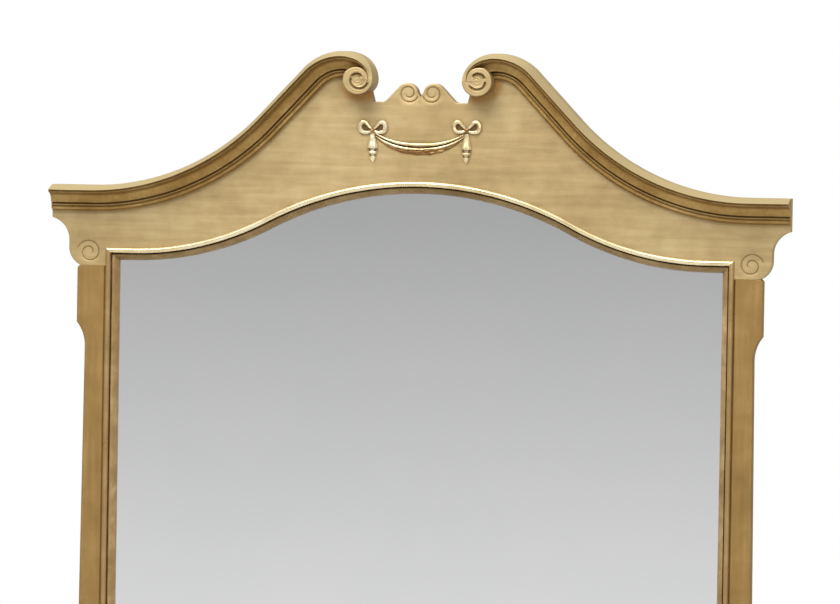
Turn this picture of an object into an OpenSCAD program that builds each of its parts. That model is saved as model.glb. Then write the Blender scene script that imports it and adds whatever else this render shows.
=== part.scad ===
/* [Overall] */
// Width across the cornice tips
tip_w = 1350; // [1310:5:1390]
// Height of the cornice's level ends above the base
end_h = 1447; // [1400:1:1500]
// Rise of the crowns above the level ends
crown_rise = 250.5; // [244:0.5:262]
// Thickness of the sawn boards
board_t = 28; // [24:1:34]
// Thickness of the battens behind the boards
back_t = 20; // [16:1:24]

/* [Swan neck] */
// Length of each level end
level_l = 75; // [65:1:85]
// Slope of the straight stretch between the hollow and the crown
neck_slope = 46.9; // [46:0.1:48]
// Distance of each crown from the centre line
crown_x = 140; // [136:1:144]
// Radius of the crown on its outer side
crown_r = 100; // [95:1:102]
// Radius of the crown on its inner side
turn_r = 75; // [72:1:80]

/* [Cornice] */
// Projection of the cornice from the boards
cornice_p = 42; // [36:1:48]
// Height of the whole moulding
cornice_h = 48; // [45:0.5:50]
// Flat land at the back of the top
land_w = 9.7; // [6:0.1:12]
// Fall of the weathered band
band_h = 9.3; // [7:0.1:10.5]
// Height of the nose below the band
nose_h = 2.9; // [2:0.1:4]
// Depth of the soffit behind the nose
soffit_w = 13; // [9:0.5:16]
// Fall of the soffit
soffit_h = 3.2; // [1:0.1:4]
// Hollow of the cove below its chord
cove_sag = 2.4; // [1:0.1:3]
// Projection of the cove's foot
cove_foot_p = 13.9; // [12.5:0.1:15]
// Height and projection of the small bead
astragal_h = 2.4; // [2:0.1:3]
astragal_p = 12; // [10:0.1:12.5]
// Height and projection of the lowest fillet
fillet_h = 4.4; // [3:0.1:5]
fillet_p = 9; // [7:0.1:10]
// Height of the two grooves beside the small bead
groove_h = 2.9; // [2:0.1:3.2]
// Projection of the groove floors at the bead, and how much deeper they run on the far side
groove_p = 6.8; // [4:0.1:7]
groove_draft = 0.5; // [0.2:0.1:1]
// Height and projection of the quirk at the boards
quirk_h = 3.4; // [2:0.1:4]
quirk_p = 1.3; // [0.8:0.1:3]

/* [Scrolls] */
// Distance of each scroll's centre in from its crown
roll_in = 31.5; // [30:0.5:33]
// Fall from the crown to the scroll's centre
roll_drop = 51; // [50:0.5:53]
// Radius of the scroll
roll_r = 27; // [25.5:0.5:28]
// Radius of the volute's groove where it starts
roll_volute_r = 18; // [15:0.5:20]
// How far the groove closes in at each quarter turn
roll_volute_step = 2.6; // [2:0.1:3]
// Width of the groove
roll_volute_w = 2.6; // [1.5:0.1:3]
// Depth of the groove
roll_volute_d = 3; // [1:0.5:6]
// Its quarter turns, and the angle where it starts
roll_volute_n = 6; // [5:1:7]
roll_volute_a = 180; // [170:10:190]

/* [Crest] */
// Distance of each lobe's centre from the centre line
lobe_x = 24.5; // [23:0.5:26]
// Radius of each lobe
lobe_r = 19.5; // [18:0.5:21]
// Fall from the crowns to the lobes' centres
lobe_drop = 75.5; // [72:0.5:80]
// Depth of the cleft between the lobes, below their centres
cleft_drop = 5; // [1:0.5:8]
// Fall from the lobes' centres to the floor of the notch
notch_drop = 14.9; // [12:0.1:17]
// Slope of each lobe's outer side
lobe_slope = 47; // [42:1:52]
// Radius at the foot of that slope
notch_foot_r = 12; // [6:1:16]
// Distance of the outer end of the notch's floor in from the scroll's centre
notch_in = 22.5; // [18:0.5:25]
// Lean of the board's edge from the notch up to the scroll
notch_lean = 14; // [8:1:18]
// Incised lobe spirals: first radius, closing per quarter turn
lobe_volute_r = 16.2; // [14:0.1:17]
lobe_volute_step = 2.1; // [1.6:0.1:2.4]
// Spirals' centres: distance in and rise from the lobes' centres
lobe_volute_in = 4.3; // [3:0.1:5]
lobe_volute_rise = 2.4; // [1:0.1:3]
// Their quarter turns, and the angle where they start
lobe_volute_n = 6; // [5:1:7]
lobe_volute_a = 195; // [190:5:200]

/* [Ears] */
// Height of the straight edge under the cornice
ear_edge_h = 12; // [8:1:16]
// Distance from the tip in to the ear's neck
ear_in = 32; // [28:1:36]
// Radius of the hollow under the tip
ear_hollow_r = 42; // [38:1:50]
// Radius of the round below the neck
ear_round_r = 36; // [34:1:38]
// Height of the round's centre above the joint with the jamb
ear_round_h = 32.5; // [28:0.5:35]
// Fall from the opening's shoulders to the joint between the pediment board and the jambs
joint_drop = 27.5; // [23:0.5:36]
// Incised corner spirals: distance in from the tip, height above the joint, radius, closing
corner_volute_in = 68; // [65:0.5:71]
corner_volute_h = 23; // [20:0.5:26]
corner_volute_r = 21; // [18:0.5:22]
corner_volute_step = 2.6; // [2:0.1:2.8]
// Their quarter turns, and the angle where they start
corner_volute_n = 7; // [6:1:8]
corner_volute_a = 10; // [0:5:20]
// Width and depth of all incised spirals
incised_w = 2.2; // [1:0.1:3]
incised_d = 1.8; // [0.5:0.1:4]

/* [Jambs] */
// Distance from the tip in to the outer edge of each jamb, under its block
jamb_in = 63.5; // [61:0.5:66]
// Distance from the tip in to the outer edge of each jamb, at the base
foot_in = 54; // [45:0.5:60]
// Distance from the tip in to the outer edge of the block
block_in = 48; // [45:0.5:55]
// Length of the block, with the cove under it
block_l = 146.5; // [110:0.5:200]
// Radius of the cove under the block
block_cove_r = 67; // [40:1:90]
// Radius of the block's upper corner
block_round_r = 7; // [3:0.5:10]

/* [Mirror opening] */
// Distance from the tip in to the middle of the bead
open_in = 105; // [103:0.5:109]
// Fall from the cornice's level ends to the shoulders, at the bead's middle
shoulder_drop = 118; // [112:0.5:129]
// Rise of the arch above the shoulders
arch_rise = 131; // [121:0.5:135]
// Height of the sill at the bead's middle
sill_z = 42; // [38:0.5:60]
// Radius of the arch
arch_r = 595; // [580:1:610]
// Length of each level shoulder
shoulder_l = 46; // [40:1:50]
// Width of the half-round bead
bead_w = 9.3; // [8:0.1:10]
// From the bead's middle to the sight edge of the glass
sight_in = 18; // [16:0.1:20]
// Slip: groove beside the bead, ridge, depths below the boards' face
slip_groove_w = 2; // [1:0.1:3]
slip_groove_d = 9; // [6:0.5:12]
slip_ridge_w = 2.5; // [1:0.1:4]
slip_ridge_d = 3.5; // [2:0.5:6]
slip_ovolo_sag = 2; // [0.5:0.1:3]
slip_edge_t = 2.5; // [1:0.1:4]
// Depth of the glass behind the boards' face
glass_d = 22; // [20:0.5:22.5]
// From the bead's middle to the edge of the glass
glass_in = 8; // [7:0.1:10]

/* [Applied ornament] */
// Place of each bow's knot
bow_x = 86; // [80:1:92]
bow_drop = 139.5; // [134:0.5:150]
// Radius of a bow's loop and of its ribbon
bow_loop_r = 8.8; // [7:0.1:10]
bow_ribbon_r = 3.6; // [2.5:0.1:4]
// Distance of each loop's middle from the knot, and its rise above it
bow_loop_x = 13.2; // [12:0.1:16]
bow_loop_rise = 1; // [0:0.5:3]
// Radius of the knot
knot_r = 5.5; // [5:0.1:7]
// Length and greatest radius of the tassel
tassel_l = 55; // [44:0.5:60]
tassel_r = 7.5; // [5:0.1:9]
// Clearance between the knot and what hangs from it
knot_clear = 0.2; // [0.1:0.1:0.4]
// Sag of the swag's upper edge, its height at the middle and at its ends, and its thickness
swag_sag = 18.7; // [15:0.1:26]
swag_mid_h = 16; // [10:0.5:20]
swag_end_h = 6.5; // [4:0.5:9]
swag_t = 6; // [3:0.5:9]

/* [Back] */
// Width of a stile, and how far it stands outside the bead's middle
stile_w = 26; // [20:1:28]
stile_out = 12; // [11:0.5:14]
// Height of the stile's foot, and the fall from the cornice's level end to its head
stile_foot_z = 30; // [29:1:60]
stile_head_drop = 17; // [10:1:60]
// Width of the back rails
back_rail_w = 30; // [24:1:32]
// How far the ends of the back top rail stop inside the bead's middle
back_top_in = 202; // [198:1:230]
// Rise of the back top rail's lower edge above the arch
back_top_rise = 18; // [16:1:22]
// How far the back bottom rail reaches outside the bead's middle, and clears the base
back_bottom_out = 8; // [-10:1:10]
back_bottom_z = 1; // [0:0.5:1.5]
// Pediment battens: distance out from the crowns, width, height
batten_out = 10; // [6:1:14]
batten_w = 40; // [34:1:44]
batten_l = 140; // [120:1:145]
// Backboards: reach outside the bead's middle, lowest edge, rise of the full-width ones above the shoulders
backboard_out = 10; // [6:0.5:10.5]
backboard_z = 31.5; // [31:0.5:36]
backboard_rise = 16; // [13:0.5:21]
// Thickness of the backboards, and the gap between them
backboard_t = 9; // [7:0.5:12]
backboard_gap = 0.5; // [0.3:0.1:1]
// Number of full-width backboards
full_boards = 4; // [4:1:4]
// How far the short top backboard stops inside the bead's middle, and its rise above the arch
top_board_in = 140; // [134:1:170]
top_board_rise = 15; // [12:0.5:16]

/* [Fixings] */
// Radii of the frame screws' shank and head
screw_r = 2.1; // [1.5:0.1:2.5]
screw_head_r = 4.2; // [3.5:0.1:4.6]
screw_head_h = 2.6; // [2:0.1:4]
// Depth of the counterbore in a batten and the screw's bite into the board
counterbore_d = 8; // [6:0.5:10]
screw_bite = 16; // [10:0.5:20]
// Small screws: shank, head and bite
small_screw_r = 1.6; // [1.2:0.1:2]
small_head_r = 3.4; // [2.8:0.1:4]
small_head_h = 1.8; // [1:0.1:2.4]
small_bite = 12; // [8:0.5:16]
// Radial clearance round a screw
screw_clear = 0.05; // [0.03:0.01:0.1]
// Width of the slots in the screws' heads
slot_w = 1.2; // [0.8:0.1:1.6]
small_slot_w = 0.9; // [0.6:0.1:1.2]
// Distance of the outermost screws from the ends of the stiles
screw_end_in = 50; // [30:1:80]
// Distance of the upper backboard screws from the board's edge
board_screw_in = 8; // [6:0.5:12]
// Length of a setting block beside the glass
wedge_l = 40; // [20:1:60]
// Clearance between the glass and the backboards
glass_clear = 0.3; // [0.2:0.1:0.5]

/* [Hangers] */
// Distance of each hanger from the centre line, and fall from the crowns to its ring's axis
hanger_x = 240; // [225:1:255]
hanger_drop = 125.5; // [117:0.5:138]
// Width, length and thickness of the strap
strap_w = 18; // [14:1:20]
strap_l = 30; // [26:1:32]
strap_t = 2; // [1.5:0.1:3]
// Wall of the strap's loop
loop_t = 1.3; // [1:0.1:1.8]
// Radius of the ring's bar
ring_bar_r = 2.25; // [1.8:0.05:2.6]
// Radius of the ring's round end, and length of its legs
ring_r = 18; // [17:0.5:20]
ring_leg_l = 24; // [22:0.5:26]
// Clearance of the ring in the loop and over the strap
ring_fit = 0.05; // [0.03:0.01:0.09]
ring_clear = 0.35; // [0.3:0.05:0.6]

/* [Hidden] */
$fn = 96;
eps = 0.01;
depth = cornice_p + board_t + back_t;
face_y = cornice_p - depth / 2;
back_y = face_y + board_t;
tip_x = tip_w / 2;
crown_z = end_h + crown_rise;
open_x = tip_x - open_in;
shoulder_x = open_x - shoulder_l;
shoulder_z = end_h - shoulder_drop;
arch_z = shoulder_z + arch_rise;
joint_z = shoulder_z - joint_drop;
roll_x = crown_x - roll_in;
notch_x = roll_x - notch_in;

function polar(c, r, a) = c + r * [cos(a), sin(a)];
function sagged(a, b, sag, n) = let (d = b - a, u = [-d[1], d[0]] / norm(d))
    [for (i = [0 : n]) let (t = i / n) a + t * d + 4 * sag * t * (1 - t) * u];

// Swan neck: a hollow arc, a straight tangent to both, and a crown that closes round the scroll.
// To the nearest millimetre, the hollow's radius gives the straight stretch its slope
neck_w = tip_x - level_l - crown_x - crown_r * sin(neck_slope);
neck_h = crown_rise - crown_r * (1 - cos(neck_slope));
hollow_r = round((neck_w * sin(neck_slope) - neck_h * cos(neck_slope)) / (1 - cos(neck_slope)));
hollow_c = [tip_x - level_l, end_h + hollow_r];
crown_c = [crown_x, crown_z - crown_r];
neck_span = hollow_c - crown_c;
neck_reach = norm(neck_span);
neck_a = asin((hollow_r + crown_r) / neck_reach) - atan2(neck_span[1], neck_span[0]);
neck_l = sqrt(neck_reach * neck_reach - pow(hollow_r + crown_r, 2));
hollow_end = polar(hollow_c, hollow_r, -90 - neck_a);
crown_start = polar(crown_c, crown_r, 90 - neck_a);
// Drawings of neighbouring stretches overlap by this much where they run into one another
lap = 6;
lap_a = 2;
turn_c = [crown_x, crown_z - turn_r];
roll_c = [roll_x, crown_z - roll_drop];
wrap_gap = crown_x - roll_x + roll_r;
wrap_rise = turn_c[1] - roll_c[1];
wrap_r = (turn_r * turn_r - wrap_gap * wrap_gap - wrap_rise * wrap_rise) / (2 * (turn_r - wrap_gap));
wrap_c = [roll_x - roll_r + wrap_r, roll_c[1]];
turn_a = atan2(turn_c[0] - wrap_c[0], wrap_c[1] - turn_c[1]);
// The wrap stops just short of the point where it would run out to nothing
wrap_end_a = 170;
// Far ends of the lines on which the stretches of the cornice meet
hollow_far = polar(hollow_c, hollow_r + 2 * cornice_h, -90 - neck_a);
crown_far = polar(crown_c, 2 * crown_r, 90 - neck_a);
turn_far = polar(turn_c, 2 * turn_r, 90 + turn_a);

// Crest: two lobes with a cleft between them, and a notch with a level floor beside each scroll
lobe_c = [lobe_x, crown_z - lobe_drop];
lobe_side = polar(lobe_c, lobe_r, 170);
cleft = [0, lobe_c[1] - cleft_drop];
notch_z = lobe_c[1] - notch_drop;
slope_out = [sin(lobe_slope), cos(lobe_slope)];
slope_top = lobe_c + lobe_r * slope_out;
foot_run = (lobe_r + notch_foot_r - (notch_foot_r - notch_drop) * slope_out[1]) / slope_out[0];
foot_c = [lobe_x + foot_run, notch_z + notch_foot_r];
slope_foot = foot_c - notch_foot_r * slope_out;
lobe_volute_c = lobe_c + [-lobe_volute_in, lobe_volute_rise];
notch_top = [notch_x + (roll_c[1] - notch_z) * tan(notch_lean), roll_c[1]];

// Ears
neck_x = tip_x - ear_in;
tip_z = end_h - cornice_h - ear_edge_h;
ear_hollow_c = [neck_x + ear_hollow_r, tip_z - sqrt(pow(ear_hollow_r, 2) - pow(ear_hollow_r - ear_in, 2))];
ear_round_c = [neck_x - ear_round_r, joint_z + ear_round_h];
corner_volute_c = [tip_x - corner_volute_in, joint_z + corner_volute_h];

// Jambs
jamb_x = tip_x - jamb_in;
foot_x = tip_x - foot_in;
block_x = tip_x - block_in;
block_foot_z = joint_z - block_l;

// Mirror opening: an arch that turns into two hollow shoulders
arch_c = [0, arch_z - arch_r];
arch_fall = arch_z - shoulder_z;
shoulder_r = (shoulder_x * shoulder_x + arch_fall * arch_fall) / (2 * arch_fall) - arch_r;
shoulder_c = [shoulder_x, shoulder_z + shoulder_r];
arch_a = atan2(shoulder_x, shoulder_c[1] - arch_c[1]);
bead_in = bead_w / 2;
jamb_in_x = open_x - bead_in;
sill_top_z = sill_z + bead_in;
glass_y = face_y + glass_d;
glass_t = board_t - glass_d - glass_clear;
mitre = 2 * sight_in;

// Ornament
knot = [bow_x, crown_z - bow_drop];
swag_x = bow_x - knot_r - knot_clear;
swag_top_z = knot[1] + bow_loop_rise - bow_loop_r - bow_ribbon_r - knot_clear;
swag_mid_z = swag_top_z - swag_sag;

// Back
stile_x = open_x + stile_out;
stile_head_z = end_h - stile_head_drop;
back_top_x = open_x - back_top_in;
back_top_z = arch_z + back_top_rise;
back_bottom_x = open_x + back_bottom_out;
batten_x = crown_x + batten_out;
backboard_x = open_x + backboard_out;
backboard_top_z = shoulder_z + backboard_rise;
top_board_x = open_x - top_board_in;
top_board_z = arch_z + top_board_rise;
hanger_z = crown_z - hanger_drop;

// Fixings
frame_screws_at = [
    for (i = [0 : 4]) [stile_x + stile_w / 2,
        stile_foot_z + screw_end_in + i * (stile_head_z - stile_foot_z - 2 * screw_end_in) / 4],
    for (x = [0.3, 0.9] * back_top_x) [x, back_top_z + back_rail_w / 2],
    for (x = [0.3, 0.85] * back_bottom_x) [x, back_bottom_z + back_rail_w / 2],
    for (t = [0.25, 0.75]) [batten_x + batten_w / 2, back_top_z + back_rail_w + t * batten_l]];
screw_l = back_t - counterbore_d + screw_bite;
board_h = (backboard_top_z - backboard_z) / full_boards;
board_edge_x = (jamb_in_x + backboard_x) / 2;
board_screws_at = [
    for (i = [0 : full_boards - 1], t = [0.2, 0.8]) [board_edge_x, backboard_z + (i + t) * board_h],
    for (x = [0.35, 0.75] * top_board_x) [x, top_board_z - board_screw_in]];
loop_bore_r = ring_bar_r + ring_fit;
loop_r = loop_bore_r + loop_t;
ring_y = back_y + strap_t + ring_clear + ring_bar_r;
strap_screws_z = [hanger_z - 0.42 * strap_l, hanger_z - 0.8 * strap_l];

// Stands a drawing of the front view upright, from depth y over thickness t
module stand(y, t) translate([0, y + t, 0]) rotate([90, 0, 0]) linear_extrude(t) children();

module both_sides() {
    children();
    mirror([1, 0, 0]) children();
}

module box2(low, high) translate(low) square(high - low);

module sector(c, r, a0, a1) intersection() {
    translate(c) circle(r);
    polygon([c, polar(c, 2 * r, a0), polar(c, 2 * r, a1)]);
}

// What lies below a hollow arc, down to height z
module below_hollow(c, r, a, b, z) difference() {
    polygon([c, a, [a[0], z], [b[0], z], b]);
    translate(c) circle(r);
}

// Sweeps a profile (x inward from the line, y forward from the boards' face) along an arc, from angle a
module sweep_arc(c, r, a, span, crown) translate([c[0], face_y, c[1]]) rotate([90, 0, 0])
    rotate([0, 0, a]) rotate_extrude(angle = span) translate([r, 0])
    if (crown) mirror([1, 0]) children();
    else children();

// Keeps what lies within an outline of the front view
module within(outline) intersection() {
    children();
    stand(-depth, 2 * depth) polygon(outline);
}

// Sweeps a profile level from its outer end towards the centre line
module sweep_line(end, l) translate([end[0], face_y, end[1]])
    rotate(180, [1, 0, -1]) linear_extrude(l) children();

// A spiral groove of quarter arcs, each closing in by step
function volute_c(step, a, i) = i == 0 ? [0, 0] : polar(volute_c(step, a, i - 1), step, a + 90 * i);
module volute(c, r, step, w, quarters, a) for (i = [0 : quarters - 1])
    let (m = c + volute_c(step, a, i), q = r - i * step) difference() {
        sector(m, q + w / 2, a + 90 * i, a + 90 * (i + 1));
        translate(m) circle(q - w / 2);
    }

// Right half of the opening, inset by d from the bead's middle
module half_opening(d) {
    foot = polar(arch_c, arch_r - d, 90 - arch_a);
    sector(arch_c, arch_r - d, 90 - arch_a - lap_a, 90);
    polygon([[0, sill_z + d], arch_c, foot, [foot[0], sill_z + d]]);
    below_hollow(shoulder_c, shoulder_r + d, foot, [shoulder_x, shoulder_z - d], sill_z + d);
    box2([shoulder_x - lap, sill_z + d], [open_x - d, shoulder_z - d]);
}

module ear() {
    box2([hollow_c[0] - lap, ear_round_c[1]], [neck_x, end_h]);
    intersection() {
        translate(ear_round_c) circle(ear_round_r);
        box2([ear_round_c[0] - lap, joint_z], [neck_x, ear_round_c[1]]);
    }
    box2([hollow_c[0] - lap, joint_z], [ear_round_c[0], ear_round_c[1]]);
    difference() {
        box2([neck_x, ear_hollow_c[1]], [tip_x, end_h]);
        translate(ear_hollow_c) circle(ear_hollow_r);
    }
}

module crest_lobe() {
    translate(lobe_c) circle(lobe_r);
    polygon([[0, joint_z], cleft, lobe_side, lobe_c, slope_top, slope_foot, [slope_foot[0], joint_z]]);
    below_hollow(foot_c, notch_foot_r, slope_foot, [foot_c[0], notch_z], joint_z);
}

module neck() {
    under_hollow = polar(hollow_end, lap, -neck_a);
    sector(crown_c, crown_r, 90 - neck_a - lap_a, 90);
    sector(turn_c, turn_r, 90 - lap_a, 90 + turn_a);
    sector(wrap_c, wrap_r, 90 + turn_a - lap_a, 180);
    translate(roll_c) circle(roll_r);
    polygon([[foot_c[0], joint_z], [foot_c[0], notch_z], [notch_x, notch_z], notch_top, roll_c + [0, lap],
        [crown_x, crown_z - lap], crown_start, under_hollow, [under_hollow[0], joint_z]]);
    below_hollow(hollow_c, hollow_r, hollow_end, [hollow_c[0], end_h], joint_z);
}

module screw(l, r, head_r, head_h, slot) difference() {
    union() {
        cylinder(r = r, h = l);
        translate([0, 0, l]) cylinder(r = head_r, h = head_h);
    }
    translate([-head_r, -slot / 2, l + head_h - slot]) cube([2 * head_r, slot, 2 * slot]);
}

// Places children with their z axis pointing out of the back, at depth y
module from_back(points, y) for (p = points) translate([p[0], y, p[1]]) rotate([-90, 0, 0]) children();

module frame_screw_holes() both_sides() from_back(frame_screws_at, back_y - screw_bite - screw_clear) {
    cylinder(r = screw_r + screw_clear, h = screw_l + back_t);
    translate([0, 0, screw_l + screw_clear]) cylinder(r = screw_head_r + 4 * screw_clear, h = back_t);
}

module board_screw_holes() both_sides() from_back(board_screws_at, back_y - small_bite - screw_clear)
    cylinder(r = small_screw_r + screw_clear, h = small_bite + 2 * backboard_t);

module hanger_screw_holes() both_sides()
    from_back([for (z = strap_screws_z) [hanger_x, z]], back_y - small_bite - screw_clear)
    cylinder(r = small_screw_r + screw_clear, h = small_bite + 2 * strap_t);

module pediment_board() color("tan") difference() {
    both_sides() stand(face_y, board_t) difference() {
        union() {
            ear();
            neck();
            crest_lobe();
        }
        half_opening(bead_in);
    }
    both_sides() translate([0, -eps, 0]) stand(face_y, incised_d) {
        volute(lobe_volute_c, lobe_volute_r, lobe_volute_step, incised_w,
            lobe_volute_n, lobe_volute_a);
        volute(corner_volute_c, corner_volute_r, corner_volute_step, incised_w,
            corner_volute_n, corner_volute_a);
    }
    frame_screw_holes();
    board_screw_holes();
    hanger_screw_holes();
}

module jamb() color("tan") difference() {
    stand(face_y, board_t) {
        polygon([[jamb_in_x, 0], [foot_x, 0], [jamb_x, block_foot_z], [jamb_x, joint_z],
            [jamb_in_x, joint_z]]);
        difference() {
            box2([jamb_x, block_foot_z], [block_x, joint_z]);
            translate([jamb_x + block_cove_r, block_foot_z]) circle(block_cove_r);
            difference() {
                box2([block_x - block_round_r, joint_z - block_round_r], [block_x + 1, joint_z + 1]);
                translate([block_x, joint_z] - block_round_r * [1, 1]) circle(block_round_r);
            }
        }
    }
    frame_screw_holes();
    board_screw_holes();
}
module right_jamb() jamb();
module left_jamb() mirror([1, 0, 0]) jamb();

module bottom_rail() color("tan") difference() {
    stand(face_y, board_t) box2([-jamb_in_x, 0], [jamb_in_x, sill_top_z]);
    frame_screw_holes();
}

// Cornice section: x falls from the top edge, y projects from the boards' face
low_h = quirk_h + fillet_h + 2 * groove_h + astragal_h;
cove_top = [band_h + nose_h + soffit_h, cornice_p - soffit_w];
cove_foot = [cornice_h - low_h, cove_foot_p];
astragal_v = cornice_h - quirk_h - fillet_h - groove_h;
module cornice_section() polygon(concat(
    [[0, 0], [0, land_w], [band_h, cornice_p], [band_h + nose_h, cornice_p]],
    sagged(cove_top, cove_foot, -cove_sag, 6),
    [[cove_foot[0], groove_p - groove_draft], [astragal_v - astragal_h, groove_p]],
    sagged([astragal_v - astragal_h, astragal_p - 1], [astragal_v, astragal_p - 1], 1, 4),
    [[astragal_v, groove_p], [astragal_v + groove_h, groove_p - groove_draft],
        [astragal_v + groove_h, fillet_p], [cornice_h - quirk_h, fillet_p],
        [cornice_h - quirk_h, quirk_p], [cornice_h, quirk_p], [cornice_h, 0]]));

module cornice() color("darkgoldenrod") difference() {
    union() {
        sweep_line([tip_x, end_h], level_l) cornice_section();
        within([hollow_c, hollow_far, [hollow_far[0], joint_z], [tip_x, joint_z], [tip_x, hollow_c[1]]])
            sweep_arc(hollow_c, hollow_r, -90, -neck_a - lap_a, false) cornice_section();
        within([hollow_c, hollow_far, crown_c, crown_far]) translate([hollow_c[0], 0, hollow_c[1]])
            rotate([0, neck_a, 0]) sweep_line([lap, -hollow_r], neck_l + 2 * lap) cornice_section();
        within([crown_c, crown_far, [0, crown_far[1]], [0, crown_c[1]]])
            sweep_arc(crown_c, crown_r, 90, -neck_a - lap_a, true) cornice_section();
        within([turn_c, turn_far, [tip_x, turn_far[1]], [tip_x, turn_c[1]]])
            sweep_arc(turn_c, turn_r, 90, turn_a + lap_a, true) cornice_section();
        within([turn_c, turn_far, [0, turn_far[1]], [0, turn_c[1]]])
            sweep_arc(wrap_c, wrap_r, wrap_end_a, 90 + turn_a - lap_a - wrap_end_a, true) intersection() {
                cornice_section();
                box2([0, 0], [roll_r, cornice_p]);
            }
    }
    stand(face_y - cornice_p - 1, cornice_p + 2) translate(roll_c) circle(roll_r);
}
module right_cornice() cornice();
module left_cornice() mirror([1, 0, 0]) cornice();

module scroll() color("burlywood") difference() {
    stand(face_y - cornice_p, cornice_p) translate(roll_c) circle(roll_r);
    translate([0, -eps, 0]) stand(face_y - cornice_p, roll_volute_d)
        volute(roll_c, roll_volute_r, roll_volute_step, roll_volute_w, roll_volute_n, roll_volute_a);
}
module right_scroll() scroll();
module left_scroll() mirror([1, 0, 0]) scroll();

// A half-round ring lying on the boards
module half_ring(r, w) rotate([90, 0, 0]) rotate_extrude() intersection() {
    translate([r, w / 2]) circle(w, $fn = 32);
    box2([0, 0], [r + w, 2 * w]);
}

module half_ball(r) rotate([90, 0, 0]) rotate_extrude() intersection() {
    circle(r);
    box2([0, 0], [r, r]);
}

module bow() color("wheat") translate([knot[0], face_y, knot[1]]) {
    half_ball(knot_r);
    for (s = [-1, 1]) translate([s * bow_loop_x, 0, bow_loop_rise]) half_ring(bow_loop_r, bow_ribbon_r);
}
module right_bow() bow();
module left_bow() mirror([1, 0, 0]) bow();

// Tassel section: radius against the fall from the knot
tassel_z = knot[1] - knot_r - knot_clear;
module tassel() color("wheat") translate([knot[0], face_y, tassel_z])
    rotate([0, 0, 180]) rotate_extrude(angle = 180)
    polygon([for (q = [[0, 0], [0.3, 0], [0.45, 0.12], [0.95, 0.52], [1, 0.6], [0.5, 0.63], [0.75, 0.68],
        [0.72, 0.76], [0.35, 0.79], [0.55, 0.84], [0.45, 0.92], [0.12, 1], [0, 1]])
        [q[0] * tassel_r, -q[1] * tassel_l]]);
module right_tassel() tassel();
module left_tassel() mirror([1, 0, 0]) tassel();

// What lies above an arc that sags by s below the swag's ends
module above_sag(mid_z, s) let (r = (swag_x * swag_x + s * s) / (2 * s)) translate([0, mid_z + r]) circle(r);

// The swag's gathered strands as one crescent
module swag() color("wheat") stand(face_y - swag_t, swag_t) intersection() {
    difference() {
        above_sag(swag_mid_z - swag_mid_h, swag_sag - swag_end_h + swag_mid_h);
        above_sag(swag_mid_z, swag_sag);
    }
    box2([-swag_x, swag_mid_z - swag_mid_h], [swag_x, swag_top_z]);
}

// Cut lines at 45 degrees through the four corners of the bead's middle line
module side_cut() stand(-depth, 2 * depth) polygon([
    [open_x + mitre, sill_z - mitre], [open_x - mitre, sill_z + mitre],
    [open_x - mitre, shoulder_z - mitre], [open_x + mitre, shoulder_z + mitre]]);
module top_cut() stand(-depth, 2 * depth) polygon([
    [-open_x - mitre, shoulder_z + mitre], [mitre - open_x, shoulder_z - mitre],
    [open_x - mitre, shoulder_z - mitre], [open_x + mitre, shoulder_z + mitre],
    [open_x, crown_z], [-open_x, crown_z]]);

module member_top() intersection() {
    both_sides() {
        within([arch_c, shoulder_c, [0, shoulder_c[1]]])
            sweep_arc(arch_c, arch_r, 90, -arch_a - lap_a, true) children();
        within([arch_c, shoulder_c, [open_x, shoulder_c[1]], [open_x, arch_c[1]]])
            sweep_arc(shoulder_c, shoulder_r, -90, -arch_a - lap_a, false) children();
        sweep_line([open_x + mitre, shoulder_z], open_x + mitre - shoulder_x) children();
    }
    top_cut();
}
module member_right() intersection() {
    translate([open_x, face_y, sill_z - mitre]) rotate([0, 0, 180])
        linear_extrude(shoulder_z - sill_z + 2 * mitre) children();
    side_cut();
}
module member_bottom() intersection() {
    translate([0, 0, 2 * sill_z]) mirror([0, 0, 1])
        sweep_line([open_x + mitre, sill_z], 2 * (open_x + mitre)) children();
    stand(-depth, 2 * depth) polygon([[-open_x - mitre, sill_z - mitre], [mitre - open_x, sill_z + mitre],
        [open_x - mitre, sill_z + mitre], [open_x + mitre, sill_z - mitre]]);
}

module bead_section() intersection() {
    circle(bead_in);
    box2([-bead_in, 0], [bead_in, bead_in]);
}
module bead_top() color("gold") member_top() bead_section();
module bead_right() color("gold") member_right() bead_section();
module bead_left() mirror([1, 0, 0]) bead_right();
module bead_bottom() color("gold") member_bottom() bead_section();

// Slip section: x inward from the bead's middle, y forward from the boards' face
slip_x = bead_in + slip_groove_w;
module slip_section() polygon(concat(
    [[bead_in, -glass_d], [bead_in, -slip_groove_d], [slip_x, -slip_groove_d], [slip_x, -slip_ridge_d]],
    sagged([slip_x + slip_ridge_w, -slip_ridge_d], [sight_in, slip_edge_t - glass_d], slip_ovolo_sag, 6),
    [[sight_in, -glass_d]]));
module slip_top() color("peru") member_top() slip_section();
module slip_right() color("peru") member_right() slip_section();
module slip_left() mirror([1, 0, 0]) slip_right();
module slip_bottom() color("peru") member_bottom() slip_section();

module mirror_glass() color("lightsteelblue") both_sides() stand(glass_y, glass_t) half_opening(glass_in);

// Blocks between the edge of the glass and the opening: foot, sides and shoulders
module setting_blocks() color("sienna") both_sides() stand(glass_y, glass_t) {
    box2([open_x * 0.6, sill_top_z], [open_x * 0.6 + wedge_l, sill_z + glass_in]);
    for (z = [sill_z + 5 * wedge_l, block_foot_z - wedge_l])
        box2([open_x - glass_in, z], [jamb_in_x, z + wedge_l]);
    box2([shoulder_x, shoulder_z - glass_in], [shoulder_x + wedge_l / 2, shoulder_z - bead_in]);
}

module back_stile() color("saddlebrown") difference() {
    stand(back_y, back_t) box2([stile_x, stile_foot_z], [stile_x + stile_w, stile_head_z]);
    frame_screw_holes();
}
module back_stile_right() back_stile();
module back_stile_left() mirror([1, 0, 0]) back_stile();

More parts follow.
